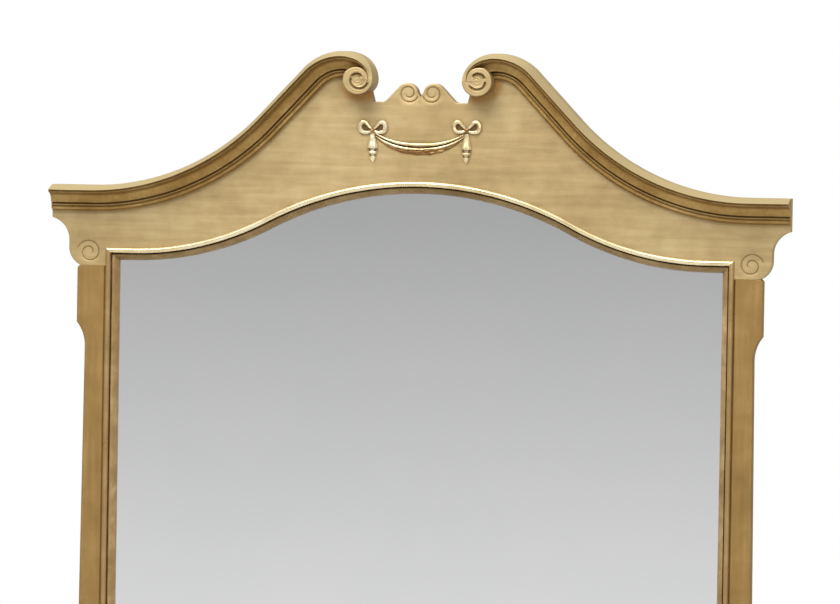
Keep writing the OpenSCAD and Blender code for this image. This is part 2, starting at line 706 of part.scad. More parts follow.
module back_top_rail() color("saddlebrown") difference() {
    stand(back_y, back_t) box2([-back_top_x, back_top_z], [back_top_x, back_top_z + back_rail_w]);
    frame_screw_holes();
}
module back_bottom_rail() color("saddlebrown") difference() {
    stand(back_y, back_t) box2([-back_bottom_x, back_bottom_z], [back_bottom_x, back_bottom_z + back_rail_w]);
    frame_screw_holes();
}
module pediment_battens() color("saddlebrown") difference() {
    both_sides() stand(back_y, back_t) translate([batten_x, back_top_z + back_rail_w])
        square([batten_w, batten_l]);
    frame_screw_holes();
}

module backboard(low, high) color("peru") difference() {
    stand(back_y, backboard_t) box2(low, high);
    board_screw_holes();
}
module full_board(i) backboard([-backboard_x, backboard_z + i * board_h],
    [backboard_x, backboard_z + (i + 1) * board_h - backboard_gap]);
module backboard_1() full_board(0);
module backboard_2() full_board(1);
module backboard_3() full_board(2);
module backboard_4() full_board(3);
module backboard_5() backboard([-top_board_x, backboard_top_z], [top_board_x, top_board_z]);

module frame_screws() color("dimgray") both_sides() from_back(frame_screws_at, back_y - screw_bite)
    screw(screw_l, screw_r, screw_head_r, screw_head_h, slot_w);
module backboard_screws() color("dimgray") both_sides() from_back(board_screws_at, back_y - small_bite)
    screw(small_bite + backboard_t, small_screw_r, small_head_r, small_head_h, small_slot_w);
module hanger_screws() color("dimgray") both_sides()
    from_back([for (z = strap_screws_z) [hanger_x, z]], back_y - small_bite)
    screw(small_bite + strap_t, small_screw_r, small_head_r, small_head_h, small_slot_w);

module hanger_strap() color("darkgoldenrod") difference() {
    union() {
        translate([hanger_x - strap_w / 2, back_y, hanger_z - strap_l]) cube([strap_w, strap_t, strap_l]);
        translate([hanger_x - strap_w / 2, ring_y, hanger_z]) rotate([0, 90, 0])
            cylinder(r = loop_r, h = strap_w);
    }
    translate([hanger_x - strap_w, ring_y, hanger_z]) rotate([0, 90, 0])
        cylinder(r = loop_bore_r, h = 2 * strap_w);
    hanger_screw_holes();
}
module right_hanger_strap() hanger_strap();
module left_hanger_strap() mirror([1, 0, 0]) hanger_strap();

module hanger_ring() color("darkgoldenrod") translate([hanger_x, ring_y, hanger_z]) {
    translate([-ring_r, 0, 0]) rotate([0, 90, 0]) cylinder(r = ring_bar_r, h = 2 * ring_r);
    for (s = [-1, 1]) translate([s * ring_r, 0, -ring_leg_l]) cylinder(r = ring_bar_r, h = ring_leg_l);
    for (s = [-1, 1]) translate([s * ring_r, 0, 0]) sphere(ring_bar_r);
    translate([0, 0, -ring_leg_l]) rotate([90, 0, 0]) rotate([0, 0, 180])
        rotate_extrude(angle = 180) translate([ring_r, 0]) circle(ring_bar_r);
}
module right_hanger_ring() hanger_ring();
module left_hanger_ring() mirror([1, 0, 0]) hanger_ring();

pediment_board();
left_jamb();
right_jamb();
bottom_rail();
left_cornice();
right_cornice();
left_scroll();
right_scroll();
left_bow();
right_bow();
left_tassel();
right_tassel();
swag();
bead_top();
bead_left();
bead_right();
bead_bottom();
slip_top();
slip_left();
slip_right();
slip_bottom();
mirror_glass();
setting_blocks();
back_stile_left();
back_stile_right();
back_top_rail();
back_bottom_rail();
pediment_battens();
backboard_1();
backboard_2();
backboard_3();
backboard_4();
backboard_5();
frame_screws();
backboard_screws();
left_hanger_strap();
right_hanger_strap();
left_hanger_ring();
right_hanger_ring();
hanger_screws();
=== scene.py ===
from math import acos, asin, atan2, ceil, copysign, cos, degrees, exp, pi, radians, sin, sqrt, tan

import bmesh
import bpy
import numpy as np
from mathutils import Euler, Matrix, Vector, noise
from mathutils.geometry import delaunay_2d_cdt


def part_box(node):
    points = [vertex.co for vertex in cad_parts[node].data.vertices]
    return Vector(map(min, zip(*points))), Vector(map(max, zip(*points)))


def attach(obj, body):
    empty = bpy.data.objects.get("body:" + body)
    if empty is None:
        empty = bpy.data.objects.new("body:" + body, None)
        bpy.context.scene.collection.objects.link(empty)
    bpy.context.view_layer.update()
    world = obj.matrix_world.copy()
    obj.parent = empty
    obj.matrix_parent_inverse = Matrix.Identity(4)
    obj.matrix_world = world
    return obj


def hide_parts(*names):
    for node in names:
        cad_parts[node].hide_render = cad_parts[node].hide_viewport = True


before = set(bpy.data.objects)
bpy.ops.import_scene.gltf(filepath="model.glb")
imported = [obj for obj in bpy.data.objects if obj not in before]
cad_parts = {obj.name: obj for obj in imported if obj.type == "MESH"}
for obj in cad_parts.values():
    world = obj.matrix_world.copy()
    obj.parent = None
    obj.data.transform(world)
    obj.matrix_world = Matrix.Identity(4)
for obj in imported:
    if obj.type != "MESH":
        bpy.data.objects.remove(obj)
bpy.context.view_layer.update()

# Blender would seed noise_vector by the clock
noise.seed_set(1)

# ---------------- sizes, in millimetres
# Drawings are (x, z) points of the front view; y is the depth, and the front is -y.
MM = 0.001


def box_mm(node):
    low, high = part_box(node)
    return low / MM, high / MM


def polar(c, r, a):
    return Vector((c[0] + r * cos(radians(a)), c[1] + r * sin(radians(a))))


BOARD_LOW, BOARD_HIGH = box_mm("pediment_board")
FACE_Y, BACK_Y = BOARD_LOW.y, BOARD_HIGH.y
TIP_X, CROWN_Z, JOINT_Z = BOARD_HIGH.x, BOARD_HIGH.z, BOARD_LOW.z
SCROLL_LOW, SCROLL_HIGH = box_mm("right_scroll")
ROLL_C = Vector(((SCROLL_LOW.x + SCROLL_HIGH.x) / 2, (SCROLL_LOW.z + SCROLL_HIGH.z) / 2))
ROLL_R = (SCROLL_HIGH.x - SCROLL_LOW.x) / 2
NOSE_P = FACE_Y - SCROLL_LOW.y

# Swan neck
CROWN_RISE = 250.5
END_Z = CROWN_Z - CROWN_RISE
LEVEL_L = 75
HOLLOW_R = 420
CROWN_X = 140
CROWN_R = 100
TURN_R = 75
HOLLOW_C = Vector((TIP_X - LEVEL_L, END_Z + HOLLOW_R))
CROWN_C = Vector((CROWN_X, CROWN_Z - CROWN_R))
TURN_C = Vector((CROWN_X, CROWN_Z - TURN_R))
NECK_SPAN = HOLLOW_C - CROWN_C
NECK_LEAN = asin((HOLLOW_R + CROWN_R) / NECK_SPAN.length)
NECK_A = degrees(NECK_LEAN - atan2(NECK_SPAN.y, NECK_SPAN.x))
WRAP_GAP = CROWN_X - ROLL_C.x + ROLL_R
WRAP_RISE = TURN_C.y - ROLL_C.y
WRAP_R = (TURN_R**2 - WRAP_GAP**2 - WRAP_RISE**2) / (2 * (TURN_R - WRAP_GAP))
WRAP_C = Vector((ROLL_C.x - ROLL_R + WRAP_R, ROLL_C.y))
TURN_A = degrees(atan2(TURN_C.x - WRAP_C.x, WRAP_C.y - TURN_C.y))
HOLLOW_TOP, CROWN_FOOT = polar(HOLLOW_C, HOLLOW_R, -90 - NECK_A), polar(CROWN_C, CROWN_R, 90 - NECK_A)
# Centre, radius, angles and the cornice's step along each curve, from the straight slope to the roll
NECK_CURVES = ((CROWN_C, CROWN_R, 90 - NECK_A, 90, 4), (TURN_C, TURN_R, 90, 90 + TURN_A, 3),
               (WRAP_C, WRAP_R, 90 + TURN_A, 180, 2))

# Cornice section: v falls from the top edge, p projects from the boards' face
CORNICE_H = 48
LAND_P = 9.7
BAND_V = 9.3
NOSE_V = 12.2
SOFFIT_V, SOFFIT_P = 15.4, 29
COVE_FOOT_V, COVE_FOOT_P = 32, 13.9
COVE_SAG = 4
GROOVE_P = 7.4
ASTRAGAL_TOP_V, ASTRAGAL_FOOT_V, ASTRAGAL_SIDE_P = 34.9, 37.3, 11
FILLET_TOP_V, FILLET_FOOT_V, FILLET_P = 40.2, 44.6, 9
CORNICE_FOOT_P = 1.3

# Crest
LOBE_C = Vector((24.5, CROWN_Z - 75.5))
LOBE_R = 19.5
LOBE_SIDE_A = 170
LOBE_SLOPE = 47
LOBE_EYE = LOBE_C + Vector((-4.3, 2.4))
CLEFT = Vector((0, LOBE_C.y - 5))
NOTCH_DROP = 14.9
NOTCH = Vector((86, LOBE_C.y - NOTCH_DROP))
NOTCH_FOOT_R = 12
SLOPE_OUT = polar((0, 0), 1, 90 - LOBE_SLOPE)
NOTCH_FOOT_X = LOBE_C.x + (LOBE_R + NOTCH_FOOT_R - (NOTCH_FOOT_R - NOTCH_DROP) * SLOPE_OUT.y) / SLOPE_OUT.x
NOTCH_FOOT_C = Vector((NOTCH_FOOT_X, NOTCH.y + NOTCH_FOOT_R))
NOTCH_RISE = Vector((tan(radians(14)), 1)).normalized()
NOTCH_ALONG = (ROLL_C - NOTCH).dot(NOTCH_RISE)
NOTCH_REACH = NOTCH_ALONG - sqrt(NOTCH_ALONG**2 + ROLL_R**2 - (ROLL_C - NOTCH).length_squared)
ROLL_FOOT = NOTCH + NOTCH_RISE * NOTCH_REACH
ROLL_FOOT_A = 360 + degrees(atan2(ROLL_FOOT.y - ROLL_C.y, ROLL_FOOT.x - ROLL_C.x))

# Ears and jambs
EAR_EDGE_Z = END_Z - CORNICE_H - 12
EAR_IN = 32
NECK_X = TIP_X - EAR_IN
EAR_HOLLOW_R = 42
EAR_FALL = sqrt(EAR_HOLLOW_R**2 - (EAR_HOLLOW_R - EAR_IN) ** 2)
EAR_HOLLOW_C = Vector((NECK_X + EAR_HOLLOW_R, EAR_EDGE_Z - EAR_FALL))
EAR_ROUND_R = 36
EAR_ROUND_C = Vector((NECK_X - EAR_ROUND_R, JOINT_Z + 32.5))
JAMB_X, FOOT_X, BLOCK_X = TIP_X - 63.5, TIP_X - 54, TIP_X - 48
BLOCK_FOOT_Z = JOINT_Z - 146.5
BLOCK_COVE_R = 67
BLOCK_ROUND_R = 7

# Opening, at the bead's middle
OPEN_X = TIP_X - 105
SHOULDER_Z = END_Z - 118
SHOULDER_X = OPEN_X - 46
ARCH_RISE = 131
ARCH_R = 595
SILL_Z = 42
ARCH_C = Vector((0, SHOULDER_Z + ARCH_RISE - ARCH_R))
SHOULDER_R = (SHOULDER_X**2 + ARCH_RISE**2) / (2 * ARCH_RISE) - ARCH_R
SHOULDER_C = Vector((SHOULDER_X, SHOULDER_Z + SHOULDER_R))
ARCH_A = degrees(atan2(SHOULDER_X, SHOULDER_C.y - ARCH_C.y))
BEAD_R = 4.65
SEAM_X = OPEN_X - BEAD_R
SIGHT_IN = 18
GLASS_D = 22
GLASS_IN = 8

# Edge radii of the boards: at a seam, under the cornice, at the foot, in the open, on a jamb's outer edge
SEAM_EDGE, COVERED_EDGE, FOOT_EDGE, OPEN_EDGE, JAMB_EDGE = 0.12, 0.6, 1.2, 1.6, 1.8
BACK_EDGE_SHARE = 0.7

# Fineness of the meshes, and the flat strip inside a rounded edge that keeps its shading steady
FINE = 3
COARSE = 12
LONG = 25
STEADY = 0.7


# ---------------- drawing in the front view
def arc(c, r, a, b, step=FINE):
    n = max(2, ceil(abs(radians(b - a)) * r / step))
    return [polar(c, r, a + (b - a) * i / n) for i in range(n + 1)]


def line(a, b, step=COARSE):
    a, b = Vector(a), Vector(b)
    n = max(1, ceil((b - a).length / step))
    return [a.lerp(b, i / n) for i in range(n + 1)]


def path(*corners, step=COARSE):
    """Straight runs from corner to corner."""
    return [p for a, b in zip(corners, corners[1:]) for p in line(a, b, step)]


def joined(*runs):
    """One outline from runs of (points, edge radius), without doubled points."""
    points, radii = [], []
    for run, radius in runs:
        for p in run:
            if not points or (p - points[-1]).length > 0.01:
                points.append(Vector(p))
                radii.append(radius)
    if (points[0] - points[-1]).length < 0.01:
        points.pop()
        radii.pop()
    return points, radii


def both_halves(runs):
    """A whole outline from the runs of its right half, which start and end on the centre line."""
    left = [([Vector((-p.x, p.y)) for p in reversed(run)], radius) for run, radius in reversed(runs)]
    return joined(*runs, *left)


def turning(points):
    """Above 0 where the closed outline runs anticlockwise."""
    return sum(a.x * b.y - b.x * a.y for a, b in zip(points[-1:] + points[:-1], points))


def inset(points, distances):
    """The closed outline moved inwards at each point."""
    side = 1 if turning(points) > 0 else -1
    moved = []
    for i, p in enumerate(points):
        a = (p - points[i - 1]).normalized()
        b = (points[(i + 1) % len(points)] - p).normalized()
        left_of_b = Vector((-b.y, b.x)) * side
        normal = Vector((-a.y - b.y, a.x + b.x)) * side
        if normal.length < 1e-6:
            normal = left_of_b.copy()
        normal.normalize()
        slant = max(0.4, normal.dot(left_of_b))
        moved.append(p + normal * distances[i] / slant)
    return moved


def inside(points, outline):
    """For each of the points, whether it lies within the outline."""
    x, z = points[:, 0], points[:, 1]
    held = np.zeros(len(points), bool)
    for a, b in zip(outline, outline[1:] + outline[:1]):
        crosses = (a.y > z) != (b.y > z)
        with np.errstate(divide="ignore", invalid="ignore"):
            held ^= crosses & (x < (b.x - a.x) * (z - a.y) / (b.y - a.y + 1e-12) + a.x)
    return held


def distance_to(points, run):
    """Distance from each point to a run of points, the place along it from 0 to 1, and the side."""
    knots = np.array([[p[0], p[1]] for p in run])
    span = knots[1:] - knots[:-1]
    best = np.full(len(points), 1e9)
    place = np.zeros(len(points))
    side = np.ones(len(points))
    for k, (start, along) in enumerate(zip(knots, span)):
        t = np.clip(((points - start) @ along) / (along**2).sum(), 0, 1)
        gap = points - (start + t[:, None] * along)
        d = np.hypot(gap[:, 0], gap[:, 1])
        near = d < best
        best[near] = d[near]
        place[near] = (k + t[near]) / len(span)
        side[near] = np.sign(along[0] * gap[near, 1] - along[1] * gap[near, 0])
    return best, place, side


def smooth(t):
    t = np.clip(t, 0, 1)
    return t * t * (3 - 2 * t)


def share_at(table, place):
    """The table's second column at a place in its first."""
    return float(np.interp(place, *zip(*table)))


def volute_run(c, r, step, quarters, start, mirror):
    """Quarter arcs, each closing in by step, as one run of points."""
    run = []
    m = Vector(c)
    for i in range(quarters):
        run += arc(m, r - i * step, start + 90 * i, start + 90 * (i + 1), 1.2)
        m = polar(m, step, start + 90 * (i + 1))
    run = joined((run, 0))[0]
    return [Vector((c[0] * mirror + (p.x - c[0]) * mirror, p.y)) for p in run]


def offset_run(run, d):
    """The open run moved sideways by d."""
    moved = []
    for a, p, b in zip(run[:1] + run, run, run[1:] + run[-1:]):
        t = (b - a).normalized()
        moved.append(p + Vector((-t.y, t.x)) * d)
    return moved


# ---------------- meshes
# A shape is (points in millimetres, faces).
def placed(name, data):
    obj = bpy.data.objects.new(name, data)
    bpy.context.scene.collection.objects.link(obj)
    return obj


def dress(name, mesh, material, node, sharp=38, body="mirror"):
    """Makes a piece that stands for a CAD node and rides on a body."""
    mesh.shade_smooth()
    mesh.set_sharp_from_angle(angle=radians(sharp))
    mesh.materials.clear()
    mesh.materials.append(material)
    obj = placed(name, mesh)
    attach(obj, body)
    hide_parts(node)


def add_piece(name, shape, material, node, sharp=38, body="mirror"):
    points, faces = shape
    mesh = bpy.data.meshes.new(name)
    mesh.from_pydata([(p[0] * MM, p[1] * MM, p[2] * MM) for p in points], [], faces)
    bm = bmesh.new()
    bm.from_mesh(mesh)
    bmesh.ops.remove_doubles(bm, verts=bm.verts, dist=2e-6)
    bmesh.ops.recalc_face_normals(bm, faces=bm.faces)
    bm.to_mesh(mesh)
    bm.free()
    dress(name, mesh, material, node, sharp, body)


def mirrored(shape):
    points, faces = shape
    return [(-p[0], p[1], p[2]) for p in points], [tuple(reversed(f)) for f in faces]


def merged(*shapes):
    points, faces = [], []
    for more, more_faces in shapes:
        start = len(points)
        points += list(more)
        faces += [tuple(i + start for i in f) for f in more_faces]
    return points, faces


def uneven(point, amount, size):
    """A little unevenness that depends only on the place."""
    shift = noise.noise_vector(Vector(point) / size)
    return tuple(p + amount * d for p, d in zip(point, shift))


def roughened(shape, amount, size):
    points, faces = shape
    return [uneven(p, amount, size) for p in points], faces


def worn(shape, amount=0.22, fine=0.1):
    """Hand-made unevenness that keeps the piece within the part's own reach."""
    points, faces = shape
    made = []
    for p in points:
        x, y, z = uneven(uneven(p, amount, 45), fine, 9)
        on_board = p[1] > FACE_Y - 0.01
        y = max(FACE_Y - NOSE_P, min(p[1], y) if on_board else y)
        made.append((max(-TIP_X, min(TIP_X, x)), y, min(CROWN_Z, z)))
    return made, faces


def ring_faces(rings, n):
    """The quads between neighbouring rings of n points."""
    faces = []
    for start in range(0, (rings - 1) * n, n):
        for i in range(n):
            j = (i + 1) % n
            faces.append((start + i, start + j, start + n + j, start + n + i))
    return faces


def loft(rings, capped=True):
    n = len(rings[0])
    points = [p for ring in rings for p in ring]
    faces = ring_faces(len(rings), n)
    if capped:
        faces += [tuple(range(n)), tuple(range(len(points) - n, len(points)))]
    return points, faces


def edge_rows(outline, radii, front, back):
    """Rows of points from the flat of the front, round both edges, to the flat of the back."""
    rows = [[(p.x, front, p.y) for p in inset(outline, [r + STEADY for r in radii])]]
    for y, share, angles in ((front, 1, (90, 60, 30, 0)), (back, -BACK_EDGE_SHARE, (0, 45, 90))):
        for a in angles:
            c, s = 1 - cos(radians(a)), 1 - sin(radians(a))
            row = inset(outline, [abs(share) * r * c for r in radii])
            rows.append([(p.x, y + share * r * s, p.y) for p, r in zip(row, radii)])
    return rows


def grid_spots(rim, guides, grid):
    """A staggered grid of points inside the rim, clear of it and of the guides."""
    x, z = [p.x for p in rim], [p.y for p in rim]
    spots = [(a, b) for row, b in enumerate(np.arange(min(z) + grid / 2, max(z), grid * 0.87))
             for a in np.arange(min(x) + (row % 2) * grid / 2, max(x), grid)]
    spots = np.array(spots).reshape(-1, 2)
    keep = inside(spots, rim) & (distance_to(spots, rim + rim[:1])[0] > grid * 0.45)
    for guide in guides:
        keep &= distance_to(spots, guide)[0] > grid * 0.3
    return spots[keep]


def plate(edge, front, back, relief=None, guides=(), grid=COARSE):
    """A board of (outline, edge radii), its front triangulated through the guides and carved by relief."""
    outline, radii = edge
    if turning(outline) < 0:
        outline, radii = outline[::-1], radii[::-1]
    n = len(outline)
    rows = edge_rows(outline, radii, front, back)
    points = [p for row in rows for p in row]
    faces = ring_faces(len(rows), n) + [tuple(range(len(points) - n, len(points)))]
    rim = [Vector((p[0], p[2])) for p in rows[0]]
    flat = rim + [Vector(p) for p in grid_spots(rim, guides, grid)]
    edges = [(i, (i + 1) % n) for i in range(n)]
    for guide in guides:
        edges += [(len(flat) + i, len(flat) + i + 1) for i in range(len(guide) - 1)]
        flat += guide
    made, _, triangles, origin, _, _ = delaunay_2d_cdt(flat, edges, [], 0, 1e-4, True)
    spots = np.array([[p.x, p.y] for p in made])
    held = inside(np.array([spots[list(t)].mean(0) for t in triangles]), rim)
    depth = relief(spots) if relief else np.zeros(len(made))
    place = {}
    for i, p in enumerate(made):
        on_rim = [k for k in origin[i] if k < n]
        place[i] = on_rim[0] if on_rim else len(points)
        if not on_rim:
            points.append((p.x, front + depth[i], p.y))
    faces += [tuple(place[i] for i in t) for t, keep in zip(triangles, held) if keep]
    return points, faces


def groove_guides(run, width, bevel, inner):
    """Runs beside a groove's middle that its relief needs. inner is the sign of the side towards the eye."""
    offsets = (-width / 2, -width / 6, width / 6, width / 2, width / 2 + bevel / 2, width / 2 + bevel)
    return [offset_run(run, -inner * d) for d in offsets]


def groove_depth(points, run, width, bevel, depth, inner):
    """A steep wall on the side towards the eye, and a long bevel on the other that catches the light."""
    gap, place, side = distance_to(points, run)
    out = -inner * side * gap
    wall = smooth((out + width / 2) / (width * 0.35))
    rise = 1 - smooth((out - width / 6) / (width / 3 + bevel))
    return depth * wall * rise * smooth(place / 0.04) * smooth((1 - place) / 0.08)


def softened(node, radius, material, name, segments=2, amount=0.0):
    """The CAD node's own shape with eased edges, for sawn and turned parts."""
    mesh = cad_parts[node].data.copy()
    bm = bmesh.new()
    bm.from_mesh(mesh)
    bmesh.ops.remove_doubles(bm, verts=bm.verts, dist=1e-6)
    bmesh.ops.dissolve_limit(bm, angle_limit=radians(2), verts=bm.verts, edges=bm.edges)
    sharp = [e for e in bm.edges if len(e.link_faces) == 2 and e.calc_face_angle(0) > radians(50)]
    bmesh.ops.bevel(bm, geom=sharp, offset=radius * MM, segments=segments, profile=0.5, affect="EDGES",
                    clamp_overlap=True)
    bmesh.ops.triangulate(bm, faces=[f for f in bm.faces if len(f.verts) > 4])
    if amount:
        for v in bm.verts:
            v.co = Vector(uneven(v.co / MM, amount, 40)) * MM
    bm.to_mesh(mesh)
    bm.free()
    dress(name, mesh, material, node)


# ---------------- materials
def rgba(value):
    """A colour with its alpha, from a colour or the number of a grey."""
    return (*value, 1) if isinstance(value, tuple) else (value, value, value, 1)


class Graph:
    """A shader's node tree. A value for a node is a socket, a number or a colour."""

    def __init__(self, tree):
        self.tree = tree

    def feed(self, socket, value):
        if isinstance(value, bpy.types.NodeSocket):
            self.tree.links.new(value, socket)
        else:
            socket.default_value = rgba(value) if socket.type == "RGBA" else value

    def node(self, kind, **values):
        made = self.tree.nodes.new(f"ShaderNode{kind}")
        for key, value in values.items():
            if key in made.inputs:
                self.feed(made.inputs[key], value)
            else:
                setattr(made, key, value)
        return made

    def coordinates(self, kind):
        return self.node("TexCoord").outputs[kind]

    def axes(self, vector):
        return self.node("SeparateXYZ", Vector=vector).outputs

    def math(self, operation, a, b=0.0):
        made = self.node("Math", operation=operation)
        self.feed(made.inputs[0], a)
        self.feed(made.inputs[1], b)
        return made.outputs["Value"]

    def weighted(self, *parts):
        """The sum of the values, each times its weight."""
        total = 0.0
        for value, weight in parts:
            total = self.math("ADD", total, self.math("MULTIPLY", value, weight))
        return total

    def upwards(self, vector):
        """0 where the vector points straight down, 1 where it points straight up."""
        return self.math("ADD", self.math("MULTIPLY", self.axes(vector)["Z"], 0.5), 0.5)

    def noise(self, place, scale, detail=3.0, roughness=0.55, distortion=0.0):
        """Noise of one scale, or of one for each axis, in waves to the metre."""
        scale = scale if isinstance(scale, tuple) else (scale,) * 3
        mapped = self.node("Mapping", Vector=place, Scale=scale).outputs["Vector"]
        return self.node("TexNoise", Vector=mapped, Scale=1.0, Detail=detail, Roughness=roughness,
                         Distortion=distortion).outputs["Fac"]

    def ramp(self, value, *stops):
        """Colours or greys against the value, in straight runs from stop to stop."""
        made = self.node("ValToRGB", Fac=value)
        elements = made.color_ramp.elements
        while len(elements) < len(stops):
            elements.new(0.5)
        for element, (position, colour) in zip(elements, stops):
            element.position = position
            element.color = rgba(colour)
        return made.outputs["Color"]

    def mix(self, factor, a, b, blend="MIX"):
        made = self.node("Mix", data_type="RGBA", blend_type=blend)
        for name, value in (("Factor", factor), ("A", a), ("B", b)):
            self.feed(next(s for s in made.inputs if s.name == name and s.enabled), value)
        return next(s for s in made.outputs if s.enabled)


class Surface(Graph):
    """A material whose nodes feed one Principled shader."""

    def __init__(self, name):
        self.material = bpy.data.materials.new(name)
        self.material.use_nodes = True
        super().__init__(self.material.node_tree)

    def hollows(self, reach, strength, closed, opened):
        """The strength in hollows no wider than reach, and 0 where the face is open."""
        shade = self.node("AmbientOcclusion", Distance=reach * MM, samples=6)
        return self.ramp(shade.outputs["AO"], (closed, strength), (opened, 0))

    def dents(self, height, strength, depth):
        return self.node("Bump", Strength=strength, Distance=depth * MM, Height=height).outputs["Normal"]

    def fed(self, values):
        """The material, with a value for each named socket of its shader."""
        for name, value in values.items():
            self.feed(self.tree.nodes["Principled BSDF"].inputs[name], value)
        return self.material


BOARD_TONES = ((0.40, 0.28, 0.125), (0.50, 0.365, 0.17), (0.60, 0.46, 0.235))
JAMB_TONES = ((0.28, 0.165, 0.05), (0.35, 0.215, 0.07), (0.45, 0.29, 0.11))
MOULDING_TONES = ((0.28, 0.15, 0.034), (0.40, 0.24, 0.07), (0.57, 0.38, 0.14))
ORNAMENT_TONES = ((0.55, 0.37, 0.14), (0.86, 0.70, 0.40), (1.0, 0.92, 0.66))
FOLD_TONES = ((0.16, 0.075, 0.02), (0.28, 0.15, 0.05), (0.55, 0.36, 0.15))
# Near-black ground colour, deepened as painted shade inside the bow loops
BOLE_AND_SHADE_TONES = ((0.03, 0.014, 0.003), (0.08, 0.042, 0.01), (0.22, 0.14, 0.05))
# Lit and shaded copies of the bead's gilding, brighter on the level members and darker on the upright sides:
# painted light and shade
LIT_BEAD_TONES = ((0.70, 0.52, 0.25), (0.88, 0.72, 0.42), (0.98, 0.88, 0.62))
SHADED_SIDE_BEAD_TONES = ((0.40, 0.25, 0.095), (0.48, 0.31, 0.125), (0.62, 0.43, 0.2))
# Shaded and lit copies of the slip's gilding, darker on the level members and paler on the upright sides:
# painted shade and light
SHADED_SLIP_TONES = ((0.21, 0.13, 0.045), (0.30, 0.195, 0.08), (0.42, 0.3, 0.14))
LIT_SIDE_SLIP_TONES = ((0.31, 0.19, 0.07), (0.44, 0.285, 0.12), (0.66, 0.48, 0.24))
RAW_TONES = ((0.15, 0.09, 0.04), (0.34, 0.22, 0.11))
PINE_TONES = ((0.17, 0.10, 0.045), (0.36, 0.235, 0.12))
STILE_TONES = ((0.15, 0.088, 0.04), (0.32, 0.205, 0.105))
STEEL_TONES = ((0.06, 0.05, 0.045), (0.22, 0.21, 0.2))
BRASS_TONES = ((0.24, 0.16, 0.06), (0.52, 0.39, 0.17))
SILVER_TONES = ((0.90, 0.905, 0.91), (0.925, 0.925, 0.925))
# Colours for the hollows, partly dirt and partly painted shade
GRIME_AND_SHADE = (0.12, 0.055, 0.008)
DEEP_GRIME_AND_SHADE = (0.04, 0.016, 0.002)
SLIP_GRIME_AND_SHADE = (0.035, 0.017, 0.003)
SIDE_SLIP_GRIME_AND_SHADE = (0.11, 0.055, 0.014)
BACK_HOLLOW_DARK = (0.05, 0.03, 0.018)
BROWN_SHADE = (0.17, 0.085, 0.018)
WARM_SHADE = (0.38, 0.20, 0.055)
# Pale dusty tone, also painted light on faces that look up and where the cornice wraps round the roll
DUST_AND_LIGHT = (0.54, 0.42, 0.20)
# Painted shade on the cornice's steep faces
UNDERSIDE_SHADE = (0.15, 0.075, 0.015)
LEVEL_STROKES, UPRIGHT_STROKES = (6, 30, 90), (90, 30, 6)


def rolls_shade(s, place):
    """Painted shadow on the boards under each roll and on the right one's outer side."""
    x, _, z = s.axes(place)
    across = s.math("SUBTRACT", s.math("ABSOLUTE", x), ROLL_C.x * MM)
    up = s.math("SUBTRACT", z, ROLL_C.y * MM)
    reach = s.math("SQRT", s.math("ADD", *(s.math("MULTIPLY", d, d) for d in (across, up))))
    near = s.ramp(reach, ((ROLL_R - 2) * MM, 0.95), ((ROLL_R + 9) * MM, 0.8), ((ROLL_R + 20) * MM, 0))
    right_side = s.math("MULTIPLY", s.math("GREATER_THAN", x), across)
    lean = s.math("SUBTRACT", s.math("MULTIPLY", right_side, 0.9), up)
    return s.mix(1.0, near, s.ramp(lean, (0.0, 0), (18 * MM, 1)), "MULTIPLY")


def shade_dust_and_light(s, place, colour, dust_and_light):
    """Painted shade on the cornice's steep faces, and a pale dusty tone that is also painted light on those
    that look up or wrap round the roll.
    """
    _, facing_y, facing_z = s.axes(s.coordinates("Normal"))
    off_centre = s.math("ABSOLUTE", s.axes(place)["X"])
    # Painted shade on the faces that turn away from the front, left off the cut end
    steep = s.ramp(s.math("ABSOLUTE", facing_y), (0.3, 0.85), (0.72, 0))
    cut_end = s.math("GREATER_THAN", off_centre, (TIP_X - 0.6) * MM)
    colour = s.mix(s.mix(cut_end, steep, 0), colour, UNDERSIDE_SHADE)
    # Pale dusty tone that is also painted light, on faces that look up and round the roll's wrap
    lit_dusty_tops = s.ramp(facing_z, (0.3, 0), (0.62, dust_and_light))
    lit_wrap = s.ramp(off_centre, ((ROLL_C.x - 24) * MM, dust_and_light), ((ROLL_C.x - 6) * MM, 0))
    return s.mix(s.mix(1.0, lit_dusty_tops, lit_wrap, "LIGHTEN"), colour, DUST_AND_LIGHT)


